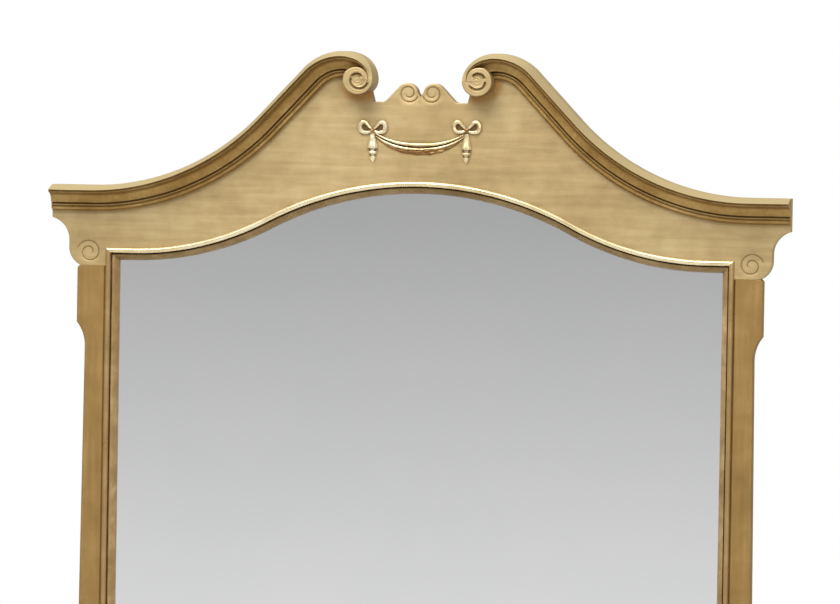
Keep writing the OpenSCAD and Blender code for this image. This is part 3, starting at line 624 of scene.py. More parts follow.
def gilt(name, tones, metallic, roughness, strokes, grime_and_shade, reach, hold=0.9, wear_and_highlight=0.5, bump=0.25, dust_and_light=0.0,
         raw_back=False, roll_shade=False, underside_shade=0.0):
    """Worn gilding with patches, brush strokes, edges worn bright that also stand as painted highlights, and
    dirt with painted shade in hollows no wider than reach; optionally painted shade on faces that look down
    and painted shadow by the rolls.
    """
    dark, middle, light = tones
    s = Surface(name)
    place = s.coordinates("Object")
    patches, clouds, specks = s.noise(place, 5, 4), s.noise(place, 22, 3), s.noise(place, 700, 2)
    lines = s.noise(place, strokes, 5, 0.6, 0.4)
    blend = s.weighted((patches, 0.42), (clouds, 0.3), (lines, 0.28))
    colour = s.ramp(blend, (0.36, dark), (0.5, middle), (0.64, light))
    colour = s.mix(0.5, colour, s.ramp(specks, (0.3, 0.82), (0.7, 1)), "MULTIPLY")
    if dust_and_light:
        colour = shade_dust_and_light(s, place, colour, dust_and_light)
    # Dirt and painted shade in the hollows, by ambient occlusion
    colour = s.mix(s.hollows(reach, hold, 0.2, 0.85), colour, grime_and_shade)
    # Painted shade on faces that look down
    if underside_shade:
        down_facing_shade = s.ramp(s.upwards(s.coordinates("Normal")), (0.15, underside_shade), (0.48, 0))
        colour = s.mix(down_facing_shade, colour, BROWN_SHADE)
    # Painted shadow under each roll and beside the right one
    if roll_shade:
        colour = s.mix(rolls_shade(s, place), colour, WARM_SHADE)
    # Edges worn bright, which also stand as painted highlights
    edges = s.node("NewGeometry").outputs["Pointiness"]
    rubbed_and_highlit = s.ramp(s.weighted((edges, 1), (lines, 0.06)), (0.555, 0), (0.62, wear_and_highlight))
    colour = s.mix(rubbed_and_highlit, colour, light)
    gloss = s.ramp(lines, (0.3, roughness - 0.08), (0.7, roughness + 0.1))
    if raw_back:
        behind = s.math("GREATER_THAN", s.axes(place)["Y"], (BACK_Y - 0.5) * MM)
        colour = s.mix(behind, colour, s.ramp(lines, (0.36, RAW_TONES[0]), (0.62, RAW_TONES[1])))
        gloss = s.mix(behind, gloss, 0.85)
    dents = s.dents(s.weighted((lines, 1), (specks, 0.35)), bump, 0.8)
    return s.fed({"Base Color": colour, "Roughness": gloss, "Metallic": metallic, "Specular IOR Level": 0.2,
                  "Normal": dents})


def sawn_wood(name, along, tones, board=0):
    """Raw sawn pine with its grain along one axis. Each board has its own figure and tone."""
    s = Surface(name)
    shift = (0.37 * board, 0.11 * board, 0.53 * board)
    place = s.node("Mapping", Vector=s.coordinates("Object"), Location=shift).outputs["Vector"]
    tone = 1 + 0.16 * sin(2.4 * board)
    dark, light = (tuple(c * tone for c in colour) for colour in tones)
    fibres = s.noise(place, tuple(4 if axis == along else 260 for axis in "xyz"), 4, 0.6)
    rings = s.noise(place, tuple(1.2 if axis == along else 34 for axis in "xyz"), 3, 0.5, 1.2)
    colour = s.ramp(s.weighted((fibres, 0.4), (rings, 0.6)), (0.36, dark), (0.62, light))
    # Darker in the hollows
    colour = s.mix(s.hollows(12, 0.7, 0.3, 0.9), colour, BACK_HOLLOW_DARK)
    return s.fed({"Base Color": colour, "Roughness": 0.78, "Normal": s.dents(fibres, 0.35, 0.6)})


def dull_metal(name, tones, roughness):
    s = Surface(name)
    stains = s.noise(s.coordinates("Object"), 160, 5, 0.65)
    colour = s.ramp(stains, (0.35, tones[0]), (0.62, tones[1]))
    gloss = s.ramp(stains, (0.3, roughness + 0.15), (0.7, roughness - 0.05))
    dents = s.dents(stains, 0.2, 0.2)
    return s.fed({"Base Color": colour, "Roughness": gloss, "Metallic": 1.0, "Normal": dents})


def silvered_glass(name):
    """Silvered plate, very slightly clouded."""
    s = Surface(name)
    colour = s.ramp(s.noise(s.coordinates("Object"), 3), (0.3, SILVER_TONES[0]), (0.7, SILVER_TONES[1]))
    return s.fed({"Base Color": colour, "Roughness": 0.02, "Metallic": 1.0})


# The boards' hollows take painted shade in BROWN_SHADE under the cornice and the scrolls, and painted shadow
# by the rolls
gilt_board = gilt("gilt_board", BOARD_TONES, 0.35, 0.5, LEVEL_STROKES, BROWN_SHADE, 24, 0.85,
                  raw_back=True, roll_shade=True)
gilt_jamb = gilt("gilt_jamb", JAMB_TONES, 0.35, 0.5, UPRIGHT_STROKES, GRIME_AND_SHADE, 8, raw_back=True)
gilt_moulding = gilt("gilt_moulding", MOULDING_TONES, 0.4, 0.46, 110, GRIME_AND_SHADE, 14, 1.0, dust_and_light=0.9)
gilt_scroll = gilt("gilt_scroll", BOARD_TONES, 0.35, 0.46, 60, GRIME_AND_SHADE, 7, underside_shade=0.8)
gilt_ornament = gilt("gilt_ornament", ORNAMENT_TONES, 0.7, 0.28, 90, DEEP_GRIME_AND_SHADE, 5, 1.0, bump=0.05)
bole_and_shade = gilt("bole_and_shade", BOLE_AND_SHADE_TONES, 0.3, 0.5, 90, DEEP_GRIME_AND_SHADE, 4)
gilt_fold = gilt("gilt_fold", FOLD_TONES, 0.5, 0.38, 90, DEEP_GRIME_AND_SHADE, 4, 0.95, bump=0.1)
bright_bead = gilt("bright_bead", LIT_BEAD_TONES, 0.75, 0.26, 14, DEEP_GRIME_AND_SHADE, 2.5, 0.8, bump=0.06)
shaded_side_bead = gilt("shaded_side_bead", SHADED_SIDE_BEAD_TONES, 0.6, 0.32, 14, DEEP_GRIME_AND_SHADE, 2.5, 0.8, bump=0.06)
slip_gilding = gilt("slip_gilding", SHADED_SLIP_TONES, 0.4, 0.45, 40, SLIP_GRIME_AND_SHADE, 12, 0.95)
lit_side_slip = gilt("lit_side_slip", LIT_SIDE_SLIP_TONES, 0.45, 0.4, 40, SIDE_SLIP_GRIME_AND_SHADE, 9, 0.85, wear_and_highlight=0.9)
mirror_plate = silvered_glass("mirror_plate")
board_wood = sawn_wood("back_wood_level", "x", PINE_TONES)
stile_wood = sawn_wood("back_wood_upright", "z", STILE_TONES)
screw_steel = dull_metal("screw_steel", STEEL_TONES, 0.45)
hanger_brass = dull_metal("hanger_brass", BRASS_TONES, 0.35)


# ---------------- boards
def opening_run(d, step):
    """The arch and shoulders from the right corner to the middle, inset by d."""
    return (
        line((OPEN_X - d, SHOULDER_Z - d), (SHOULDER_X, SHOULDER_Z - d))
        + arc(SHOULDER_C, SHOULDER_R + d, -90, -90 - ARCH_A, step)[1:]
        + arc(ARCH_C, ARCH_R - d, 90 - ARCH_A, 90, step)[1:]
    )


def crest_run():
    """From the cleft over the lobe to the foot of the notch."""
    slope_a = 90 - LOBE_SLOPE
    return (
        line(CLEFT, polar(LOBE_C, LOBE_R, LOBE_SIDE_A), 3)
        + arc(LOBE_C, LOBE_R, LOBE_SIDE_A, slope_a, 2)
        + line(polar(LOBE_C, LOBE_R, slope_a), NOTCH_FOOT_C - NOTCH_FOOT_R * SLOPE_OUT, 4)
        + arc(NOTCH_FOOT_C, NOTCH_FOOT_R, -90 - LOBE_SLOPE, -90, 2)
        + line((NOTCH_FOOT_X, NOTCH.y), NOTCH, 4)
    )


def neck_run():
    """From the notch's top round the roll and along the swan neck to the tip."""
    curves = [p for c, r, a, b, _ in reversed(NECK_CURVES) for p in arc(c, r, b, a)]
    return (
        arc(ROLL_C, ROLL_R, ROLL_FOOT_A, 180, 2) + curves + line(CROWN_FOOT, HOLLOW_TOP)
        + arc(HOLLOW_C, HOLLOW_R, -90 - NECK_A, -90, 6) + line((HOLLOW_C.x, END_Z), (TIP_X, END_Z))
    )


def board_runs():
    """Right half of the pediment board, from the cleft clockwise to the top of the arch."""
    foot_a = -degrees(asin((EAR_ROUND_C.y - JOINT_Z) / EAR_ROUND_R))
    ear_a = degrees(acos((TIP_X - EAR_HOLLOW_C.x) / EAR_HOLLOW_R))
    ear = (line((TIP_X, END_Z), (TIP_X, EAR_EDGE_Z)) + arc(EAR_HOLLOW_C, EAR_HOLLOW_R, ear_a, 180, 2)
           + arc(EAR_ROUND_C, EAR_ROUND_R, 0, foot_a, 2))
    seam = path(polar(EAR_ROUND_C, EAR_ROUND_R, foot_a), (SEAM_X, JOINT_Z), (SEAM_X, SHOULDER_Z - BEAD_R))
    return [(crest_run(), OPEN_EDGE), (line(NOTCH, ROLL_FOOT, 4), 1.4), (neck_run(), COVERED_EDGE),
            (ear, OPEN_EDGE), (seam + opening_run(BEAD_R, 6), SEAM_EDGE)]


# The incised spirals: run of points, width, bevel, depth and the side that they turn to
CORNER_C = Vector((TIP_X - 68, JOINT_Z + 23))
SPIRALS = [spiral for mirror in (1, -1) for spiral in (
    (volute_run(LOBE_EYE, 16.2, 2.1, 6, 195, mirror), 1.9, 1.5, 1.9, mirror),
    (volute_run(CORNER_C, 21, 2.6, 7, 10, mirror), 1.5, 1.2, 1.5, mirror),
)]
SPIRAL_REACH = 34


def planed(points, slow=3, quick=9):
    """Slow unevenness of a planed board. The two numbers choose its figure."""
    waves = ((0.22, slow, 90), (0.06, quick, 22))
    return np.array([sum(h * noise.noise(Vector((x, z, figure)) / size) for h, figure, size in waves)
                     for x, z in points])


def board_relief(points):
    """The planed face and its incised spirals."""
    depth = planed(points, 0, 7)
    for run, width, bevel, cut, mirror in SPIRALS:
        centre = np.array([[p.x, p.y] for p in run]).mean(0)
        near = np.hypot(*(points - centre).T) < SPIRAL_REACH
        depth[near] += groove_depth(points[near], run, width, bevel, cut, mirror)
    return depth


def jamb_edge():
    cove_a = 180 - degrees(acos((JAMB_X + BLOCK_COVE_R - BLOCK_X) / BLOCK_COVE_R))
    cove_c = Vector((JAMB_X + BLOCK_COVE_R, BLOCK_FOOT_Z))
    round_c = Vector((BLOCK_X - BLOCK_ROUND_R, JOINT_Z - BLOCK_ROUND_R))
    return joined(
        (line((SEAM_X, 0), (FOOT_X, 0), LONG), FOOT_EDGE),
        (line((FOOT_X, 0), (JAMB_X, BLOCK_FOOT_Z), LONG) + arc(cove_c, BLOCK_COVE_R, 180, cove_a), JAMB_EDGE),
        (arc(round_c, BLOCK_ROUND_R, 0, 90, 1.5), OPEN_EDGE),
        (line((round_c.x, JOINT_Z), (SEAM_X, JOINT_Z)), SEAM_EDGE),
        (line((SEAM_X, JOINT_Z), (SEAM_X, 0), LONG), SEAM_EDGE),
    )


# The quirk beside the bead: its wall, its floor and its rise, all past QUIRK_X
QUIRK_X = OPEN_X + BEAD_R
QUIRK_WALL, QUIRK_FLOOR, QUIRK_W, QUIRK_CUT = -0.4, 0.8, 3.0, 1.8


def jamb_relief(points):
    """The planed face, with a quirk beside the bead."""
    past = points[:, 0] - QUIRK_X
    rise = 1 - smooth((past - QUIRK_FLOOR) / (QUIRK_W - QUIRK_FLOOR))
    return planed(points) + QUIRK_CUT * smooth((past - QUIRK_WALL) / 0.6) * rise


guides = [guide for spiral in SPIRALS for guide in groove_guides(*spiral[:3], spiral[4])]
pediment = plate(both_halves(board_runs()), FACE_Y, BACK_Y, board_relief, guides)
add_piece("gilded_pediment", pediment, gilt_board, "pediment_board")

guides = [line((QUIRK_X + d, 2), (QUIRK_X + d, JOINT_Z - 2), 20)
          for d in (QUIRK_WALL, 0.2, QUIRK_FLOOR, 1.8, QUIRK_W)]
jamb = plate(jamb_edge(), FACE_Y, BACK_Y, jamb_relief, guides, grid=22)
for side, shape in (("right", jamb), ("left", mirrored(jamb))):
    add_piece(f"gilded_jamb_{side}", shape, gilt_jamb, f"{side}_jamb")

RAIL_TOP = SILL_Z + BEAD_R
rail_edge = joined(
    (line((-SEAM_X, 0), (SEAM_X, 0), LONG), FOOT_EDGE),
    (path((SEAM_X, 0), (SEAM_X, RAIL_TOP), (-SEAM_X, RAIL_TOP), (-SEAM_X, 0), step=LONG), SEAM_EDGE),
)
rail = plate(rail_edge, FACE_Y, BACK_Y, planed, grid=22)
add_piece("gilded_bottom_rail", rail, gilt_board, "bottom_rail")


# ---------------- cornice and scrolls
def eased(keys, steps=4):
    """An open run of (v, p, radius) keys with its corners rounded by quadratic curves."""
    made = [keys[0][:2]]
    for before, key, after in zip(keys, keys[1:], keys[2:]):
        p, r = Vector(key[:2]), key[2]
        if r <= 0:
            made.append(tuple(p))
            continue
        a, b = Vector(before[:2]) - p, Vector(after[:2]) - p
        start = p + a.normalized() * min(r, a.length * 0.45)
        end = p + b.normalized() * min(r, b.length * 0.45)
        for i in range(steps + 1):
            t = i / steps
            made.append(tuple(start * (1 - t) ** 2 + p * 2 * t * (1 - t) + end * t * t))
    made.append(keys[-1][:2])
    return made


def sagged(a, b, sag, n):
    """Keys between a and b on a curve that leaves the straight line by sag."""
    a, b = Vector(a), Vector(b)
    u = Vector((-(b - a).y, (b - a).x)).normalized()
    return [(*(a.lerp(b, i / n) + 4 * sag * (i / n) * (1 - i / n) * u), 0) for i in range(1, n)]


def cornice_section(band, nose, land, soffit_v, soffit_p, nose_p, foot_p):
    """The cornice's section as (v, p) points, from the back of the top to the back of the foot."""
    sloped = [(band * t, land + (nose_p - land) * t, 0) for t in (0.25, 0.5, 0.75)]
    under, thin = (nose_p - share * (nose_p - soffit_p) for share in (0.46, 0.36))
    fillet_v = nose + 0.5 * (soffit_v - nose)
    cove = sagged((soffit_v, soffit_p), (COVE_FOOT_V, foot_p), -COVE_SAG, 9)
    astragal = sagged((ASTRAGAL_TOP_V, ASTRAGAL_SIDE_P), (ASTRAGAL_FOOT_V, ASTRAGAL_SIDE_P), 1, 5)
    return eased([
        (0, 0, 0), (0, land, 1.6), *sloped,
        (band, nose_p, 1.2), (band + 0.5, under, 0.4), (nose, under, 0.4), (nose + 0.2, thin, 0.5),
        (fillet_v, thin, 0.5), (fillet_v + 0.1, soffit_p, 0.3), (soffit_v, soffit_p, 0.3), *cove,
        (COVE_FOOT_V, foot_p, 0.7), (COVE_FOOT_V, GROOVE_P, 0.5),
        (ASTRAGAL_TOP_V, GROOVE_P, 0.5), (ASTRAGAL_TOP_V, ASTRAGAL_SIDE_P, 0.3), *astragal,
        (ASTRAGAL_FOOT_V, ASTRAGAL_SIDE_P, 0.3), (ASTRAGAL_FOOT_V, GROOVE_P, 0.5),
        (FILLET_TOP_V, GROOVE_P, 0.5), (FILLET_TOP_V, FILLET_P, 0.6), (FILLET_FOOT_V, FILLET_P, 0.6),
        (FILLET_FOOT_V, CORNICE_FOOT_P, 0.5), (CORNICE_H, CORNICE_FOOT_P, 0.4), (CORNICE_H, 0, 0),
    ])


def neck_stations():
    """(point, direction of v, turn of the scroll in degrees or None) from the tip to the scroll."""
    stations = [(p, Vector((0, -1)), None) for p in line((TIP_X, END_Z), (HOLLOW_C.x, END_Z), 6)]
    for p in arc(HOLLOW_C, HOLLOW_R, -90, -90 - NECK_A, 5)[1:]:
        stations.append((p, (p - HOLLOW_C).normalized(), None))
    stations += [(p, stations[-1][1].copy(), None) for p in line(HOLLOW_TOP, CROWN_FOOT, 6)[1:]]
    for centre, radius, a, b, step in NECK_CURVES:
        for p in arc(centre, radius, a, b, step)[1:]:
            turn = degrees(atan2(p.y - ROLL_C.y, p.x - ROLL_C.x)) % 360
            stations.append((p, (centre - p).normalized(), turn))
    for turn in (184, 188, 192, 196):
        stations.append((polar(ROLL_C, ROLL_R, turn), -polar((0, 0), 1, turn), turn))
    return stations


# Turn of the scroll in degrees against the measures that cornice_section takes
WRAP_KEYS = (
    (0, BAND_V, NOSE_V, LAND_P, SOFFIT_V, SOFFIT_P, NOSE_P, COVE_FOOT_P),
    (50, BAND_V, NOSE_V, LAND_P, SOFFIT_V, SOFFIT_P, NOSE_P, COVE_FOOT_P + 2),
    (80, BAND_V, NOSE_V, LAND_P, SOFFIT_V, SOFFIT_P + 1, NOSE_P, 22),
    (102, 8.6, 10.4, 14, 13.4, 32, NOSE_P, 28),
    (125, 7.2, 8.9, 24, 11.6, 34, NOSE_P, 31),
    (142, 6.7, 8.3, 32, 10.6, 35, NOSE_P, 33),
    (160, 7.0, 8.2, 38, 10.2, 37, NOSE_P, 35),
    (180, 7.6, 8.4, 40.6, 9.8, 39.4, NOSE_P, 36),
    (196, 7.8, 8.4, 39.6, 9.8, 39.4, NOSE_P - 1.4, 36),
)
# The cut end's arris: share of the section's size, and how far back from the end
CUT_ARRIS = ((0.975, 0), (0.99, 0.25), (1, 0.8))


def wrapped(turn):
    """The section's measures at a turn of the scroll."""
    turns, *columns = zip(*WRAP_KEYS)
    return WRAP_KEYS[0][1:] if turn is None else tuple(float(np.interp(turn, turns, c)) for c in columns)


def place_section(section, point, fall):
    return [(point.x + v * fall.x, FACE_Y - p, point.y + v * fall.y) for v, p in section]


def drawn_in(section, share):
    """The section scaled about its middle."""
    v, p = np.mean(section, 0)
    return [(v + (a - v) * share, p + (b - p) * share) for a, b in section]


def cornice_shape():
    rings = []
    for k, (point, fall, turn) in enumerate(neck_stations()):
        section = cornice_section(*wrapped(turn))
        if k == 0:
            for share, back in CUT_ARRIS:
                rings.append(place_section(drawn_in(section, share), point - Vector((back, 0)), fall))
        else:
            rings.append(place_section(section, point, fall))
    return loft(rings)


cornice = cornice_shape()
for side, shape in (("right", cornice), ("left", mirrored(cornice))):
    add_piece(f"gilded_cornice_{side}", worn(shape), gilt_moulding, f"{side}_cornice")

# Turn of the scroll in degrees, from its inner side by its bottom, outer side and top, against radii about
# the roll's middle: the grooves of the two scrolls, and the most that their rims have there
LEFT_GROOVE = ((180, 19.2), (225, 17.6), (270, 15.0), (315, 13.2), (360, 11.9), (405, 10.6), (450, 9.2),
               (495, 8.2), (540, 8))
RIGHT_GROOVE = ((180, 17.6), (225, 13.8), (270, 13.6), (315, 14.6), (360, 15), (405, 14), (450, 12.4),
                (495, 10.2), (540, 9))
LEFT_RIM = ((180, 30), (360, 30), (400, 26), (425, 23.8), (450, 22.4), (475, 21), (495, 20),
            (518, 19.2), (540, 19))
RIGHT_RIM = ((180, 30), (400, 30), (430, 26), (450, 24.6), (470, 23.2), (495, 21), (518, 19.6), (540, 19))
# Where a groove is filled or faint: turn, reach to each side, share lost, and steepness
LEFT_GAPS = ((378, 16, 0.55, 2),)
RIGHT_GAPS = ((196, 22, 1, 4), (368, 15, 1, 4))
RIM_ROUND = 1.6
RIM_BACK = 0.9
EYE_R = 8
GROOVE_CUT = 4.2
GROOVE_HALF = 1.7
BEVEL = 3.8


def step_up(t):
    return float(smooth(t))


def scroll_cut(r, turn, groove, rim, held):
    """How far the scroll's face lies back: groove, raised ring, scored line, sunk eye and its swirl."""
    out = r - groove
    cut = GROOVE_CUT * held * step_up((out + GROOVE_HALF) / 0.9) * (1 - step_up((out - 0.3) / BEVEL))
    share = (r - groove - 2) / max(0.5, rim - groove - 2)
    ring = 0.55 * sin(pi * min(1, max(0, share)))
    scored = 0.35 * exp(-((share - 0.55) / 0.07) ** 2)
    eye_fall = 0.7 * step_up((groove - GROOVE_HALF - r) / 3.0)
    swirl = 0.3 * sin(radians(turn) - 1.3 * r) * step_up((groove - 3 - r) / 2) * step_up(r / 2)
    return cut - ring + scored + eye_fall + swirl


def scroll_column(grooves, rims, turn, held):
    """Points from the middle outwards and then back to the boards, as (radius, y)."""
    rim = min(ROLL_R, share_at(rims, turn))
    groove = share_at(grooves, turn)
    reach = rim - RIM_ROUND
    column = []
    for r in [*np.linspace(0.4, EYE_R, 12), *np.linspace(EYE_R, reach, 64)[1:]]:
        column.append((r, FACE_Y - NOSE_P + RIM_BACK + scroll_cut(r, turn, groove, rim, held)))
    edge = column[-1][1]
    for a in (30, 60, 90):
        c, s = cos(radians(a)), sin(radians(a))
        column.append((reach + RIM_ROUND * s, edge + RIM_ROUND * (1 - c)))
    for share in (0.25, 0.5, 0.75, 1):
        column.append((rim, edge + RIM_ROUND + (FACE_Y - edge - RIM_ROUND) * share))
    return column


def scroll_shape(grooves, rims, end, fade, gaps):
    """A disc with a spiral groove that fades out before end, as columns of points from 180 to 540 degrees."""
    points, columns = [], []
    for turn in np.linspace(180, 540, 181):
        start = len(points)
        held = step_up((end - turn) / fade)
        for middle, reach, depth, power in gaps:
            held *= 1 - depth * exp(-(((turn - middle) / reach) ** power))
        for r, y in scroll_column(grooves, rims, turn, held):
            x, z = polar(ROLL_C, r, turn)
            points.append((x, y, z))
        columns.append(range(start, len(points)))
    hub = len(points)
    points += [(ROLL_C.x, points[0][1], ROLL_C.y), (ROLL_C.x, FACE_Y, ROLL_C.y)]
    faces = []
    for a, b in zip(columns, columns[1:]):
        faces.append((hub, a[0], b[0]))
        faces += [(a[i], b[i], b[i + 1], a[i + 1]) for i in range(len(a) - 1)]
        faces.append((a[-1], b[-1], hub + 1))
    faces.append((hub, *columns[0], hub + 1, *reversed(columns[-1])))
    return points, faces


right_scroll = scroll_shape(RIGHT_GROOVE, RIGHT_RIM, 500, 24, RIGHT_GAPS)
left_scroll = mirrored(scroll_shape(LEFT_GROOVE, LEFT_RIM, 515, 40, LEFT_GAPS))
for side, shape, fine in (("right", right_scroll, 0.16), ("left", left_scroll, 0.12)):
    shape = worn(shape, 0.12, fine)
    add_piece(f"gilded_scroll_{side}", shape, gilt_scroll, f"{side}_scroll")


# ---------------- bead, slip and glass
def mitred(run, start, middle, end):
    """The run's points with their directions inwards, which slant at the two mitres."""
    directions = [start] + [middle] * (len(run) - 2) + [end]
    return [(p, Vector(d)) for p, d in zip(run, directions)]


def member_stations(kind):
    """(point, direction inwards) along the opening's middle line. The left side mirrors the right."""
    if kind == "bottom":
        return mitred(line((OPEN_X, SILL_Z), (-OPEN_X, SILL_Z), 20), (-1, 1), (0, 1), (1, 1))
    if kind != "top":
        return mitred(line((OPEN_X, SILL_Z), (OPEN_X, SHOULDER_Z)), (-1, 1), (-1, 0), (-1, -1))
    half = [(Vector((OPEN_X, SHOULDER_Z)), Vector((-1, -1)))]
    half += [(p, Vector((0, -1))) for p in line((OPEN_X - 4, SHOULDER_Z), (SHOULDER_X, SHOULDER_Z), 8)]
    bends = ((SHOULDER_C, SHOULDER_R, -90, -90 - ARCH_A, 1), (ARCH_C, ARCH_R, 90 - ARCH_A, 90, -1))
    for c, r, a, b, side in bends:
        half += [(p, side * (p - c).normalized()) for p in arc(c, r, a, b, 6)[1:]]
    return half + [(Vector((-p.x, p.y)), Vector((-d.x, d.y))) for p, d in reversed(half[:-1])]


def bead_section():
    arcs = [(BEAD_R * cos(radians(a)), BEAD_R * sin(radians(a))) for a in range(0, 181, 15)]
    return arcs + [(-BEAD_R, -0.4), (BEAD_R, -0.4)]


def slip_section():
    """A raised ridge and an ovolo that falls to the glass, as (q inwards, p forwards)."""
    wall, ridge, ridge_p, floor_p = BEAD_R + 2, BEAD_R + 4.5, -3.5, -9
    ovolo = sagged((ridge, ridge_p), (SIGHT_IN, 2.5 - GLASS_D), 2, 7)
    return eased([
        (BEAD_R, -GLASS_D, 0), (BEAD_R, floor_p, 0.5), (wall, floor_p, 0.6), (wall, ridge_p, 0.8),
        (ridge, ridge_p, 0.6), *ovolo, (SIGHT_IN, 2.5 - GLASS_D, 0.6), (SIGHT_IN, -GLASS_D, 0),
    ], 3)


def member_shape(kind, section):
    return loft([place_section(section, point, inwards) for point, inwards in member_stations(kind)])


# The level members take the lit bead and the shaded slip, the upright sides the shaded bead and the lit slip:
# painted light and shade
for part, section, slot, level_gilding, side_gilding in (
    ("bead", bead_section(), "bright_bead", bright_bead, shaded_side_bead),
    ("slip", slip_section(), "slip_gilding", slip_gilding, lit_side_slip),
):
    for kind in ("top", "bottom", "right", "left"):
        shape = member_shape(kind, section)
        material = level_gilding if kind in ("top", "bottom") else side_gilding
        if kind == "left":
            shape = mirrored(shape)
        add_piece(f"gilded_{part}_{kind}", roughened(shape, 0.16, 30), material, f"{part}_{kind}", 50)

GLASS_X, GLASS_FOOT = OPEN_X - GLASS_IN, SILL_Z + GLASS_IN
GLASS_EDGE = 0.4
glass_low, glass_high = box_mm("mirror_glass")
glass_side = path((GLASS_X, SHOULDER_Z - GLASS_IN), (GLASS_X, GLASS_FOOT), (0, GLASS_FOOT), step=60)
glass_run = opening_run(GLASS_IN, 8)[::-1] + glass_side
glass = plate(both_halves([(glass_run, GLASS_EDGE)]), glass_low.y, glass_high.y, grid=70)
add_piece("silvered_glass", glass, mirror_plate, "mirror_glass")


# ---------------- bows, tassels and swag
KNOT = Vector((86, CROWN_Z - 139.5))
# The right bow sits a little higher than the left
BOW_LIFT = 3
BOW_DEPTH = 6.5
# Middle of the ribbon round one loop of the bow, from the knot by the top, as shares of the loop's reach
LOOP_REACH = 22.5
LOOP_KEYS = ((0.1, 0.0), (0.36, 0.27), (0.56, 0.5), (0.82, 0.53), (1.0, 0.36), (1.03, 0.08), (0.9, -0.18),
             (0.64, -0.28), (0.35, -0.26), (0.1, -0.18))
# Fall down the tassel against its radius, both as shares
TASSEL_TOP = KNOT.y - 6
TASSEL_LENGTH = TASSEL_TOP - box_mm("right_tassel")[0].z
TASSEL_R = 7.5
TASSEL_KEYS = (
    (0, 0.5), (0.05, 0.58), (0.12, 0.7), (0.3, 1.0), (0.46, 1.3), (0.51, 1.36), (0.52, 1.28), (0.53, 0.62),
    (0.605, 0.5), (0.62, 0.96), (0.66, 1.06), (0.70, 1.02), (0.715, 0.5), (0.78, 0.4), (0.795, 0.66),
    (0.84, 0.74), (0.9, 0.58), (0.97, 0.24), (1, 0.04),
)
SWAG_X, SWAG_TOP = box_mm("swag")[1].x, box_mm("swag")[1].z
# Behind the boards' face, where applied pieces are sunk
SUNK_Y = FACE_Y + 0.1


def strand(run, width, height, sides, ridges=0, ridge=0.0):
    """A strand of oval section along a run, whose width and height are functions of the place from 0 to 1."""
    rings = []
    for i, (before, p, after) in enumerate(zip(run[:1] + run, run, run[1:] + run[-1:])):
        t = i / (len(run) - 1)
        tangent = (after - before).normalized()
        forward = Vector((0, -1, 0))
        forward = (forward - tangent * forward.dot(tangent)).normalized()
        across = tangent.cross(forward)
        ring = []
        for k in range(sides):
            a = 2 * pi * k / sides
            swell = 1 + ridge * cos(ridges * a)
            sideways = across * width(t) * cos(a) * swell
            ring.append(tuple(p + sideways + forward * (height(t) * sin(a) * swell)))
        rings.append(ring)
    return loft(rings)


def pressed(shape, depth):
    """Nothing of an applied piece reaches behind the boards' face or further out than depth."""
    points, faces = shape
    return [(x, min(SUNK_Y, max(FACE_Y - depth, y)), z) for x, y, z in points], faces


def curved(keys, steps=7):
    """A smooth run through the keys."""
    made = []
    for i in range(len(keys) - 1):
        a, b, c, d = (Vector(keys[min(len(keys) - 1, max(0, i + k))]) for k in (-1, 0, 1, 2))
        for j in range(steps):
            t = j / steps
            bend = (c - a) * t + (2 * a - 5 * b + 4 * c - d) * t * t + (3 * b - a - 3 * c + d) * t**3
            made.append(0.5 * (2 * b + bend))
    return made + [Vector(keys[-1])]


def bow_loop(side):
    """A puffed ribbon loop that rises outwards, with a hollow high and close to the knot."""
    flat = [LOOP_REACH * p for p in curved(LOOP_KEYS)]
    run = [Vector((KNOT.x + side * p.x, FACE_Y - 2.2, KNOT.y + p.y)) for p in flat]

    def puff(t):
        """0 at the knot, 1 round the outer lobe."""
        return sin(pi * t) ** 0.7

    return strand(run, lambda t: 1.5 + 2.5 * puff(t), lambda t: 1.4 + 1.9 * puff(t), 20, 5, 0.08)


def bow_hollow(side):
    """The sunk ground inside a loop, a thin sheet in the gilding's dark ground colour deepened as painted
    shade.
    """
    rim = []
    for a in np.linspace(0, 2 * pi, 25)[:-1]:
        x = KNOT.x + side * LOOP_REACH * (0.6 + 0.3 * cos(a))
        rim.append((x, KNOT.y + LOOP_REACH * (0.1 + 0.24 * sin(a) + 0.12 * cos(a))))
    return loft([[(x, y, z) for x, z in rim] for y in (SUNK_Y, FACE_Y - 0.4)])


def bow_knot():
    """The small knot between the loops."""
    run = [Vector((KNOT.x, FACE_Y - 3.2, KNOT.y + z)) for z in np.linspace(-8, 1.4, 17)]

    def swell(t):
        return sqrt(max(0.02, 1 - (2 * t - 1) ** 2))

    return strand(run, lambda t: 4.1 * swell(t) + 0.2, lambda t: 3.1 * swell(t) + 0.1, 24, 6, 0.14)


def tassel_shape():
    """A faceted bell, a knop and a drop, half sunk in the board."""
    rings = []
    for fall in sorted({*np.linspace(0, 1, 70), *(key[0] for key in TASSEL_KEYS)}):
        r = TASSEL_R * share_at(TASSEL_KEYS, fall)
        faceted = step_up(fall / 0.1) * (1 - step_up((fall - 0.54) / 0.02))
        ring = []
        for k in range(41):
            a = pi * (1 + k / 40)
            facet = cos(pi / 10) / cos((a % (pi / 5)) - pi / 10)
            swell = 1 + faceted * (facet - 1)
            across = copysign(abs(cos(a)) ** 0.6, cos(a))
            out = -abs(sin(a)) ** 0.8
            ring.append((KNOT.x + r * swell * across - 0.8 * fall, FACE_Y + 0.8 * r * swell * out,
                         TASSEL_TOP - fall * TASSEL_LENGTH))
        rings.append(ring)
    return loft(rings)


def swag_edge(x, rise, sag):
    """Height of a hanging line that is level along its middle."""
    u = abs(x) / SWAG_X
    return SWAG_TOP + rise - sag * (1 - u**2.5)


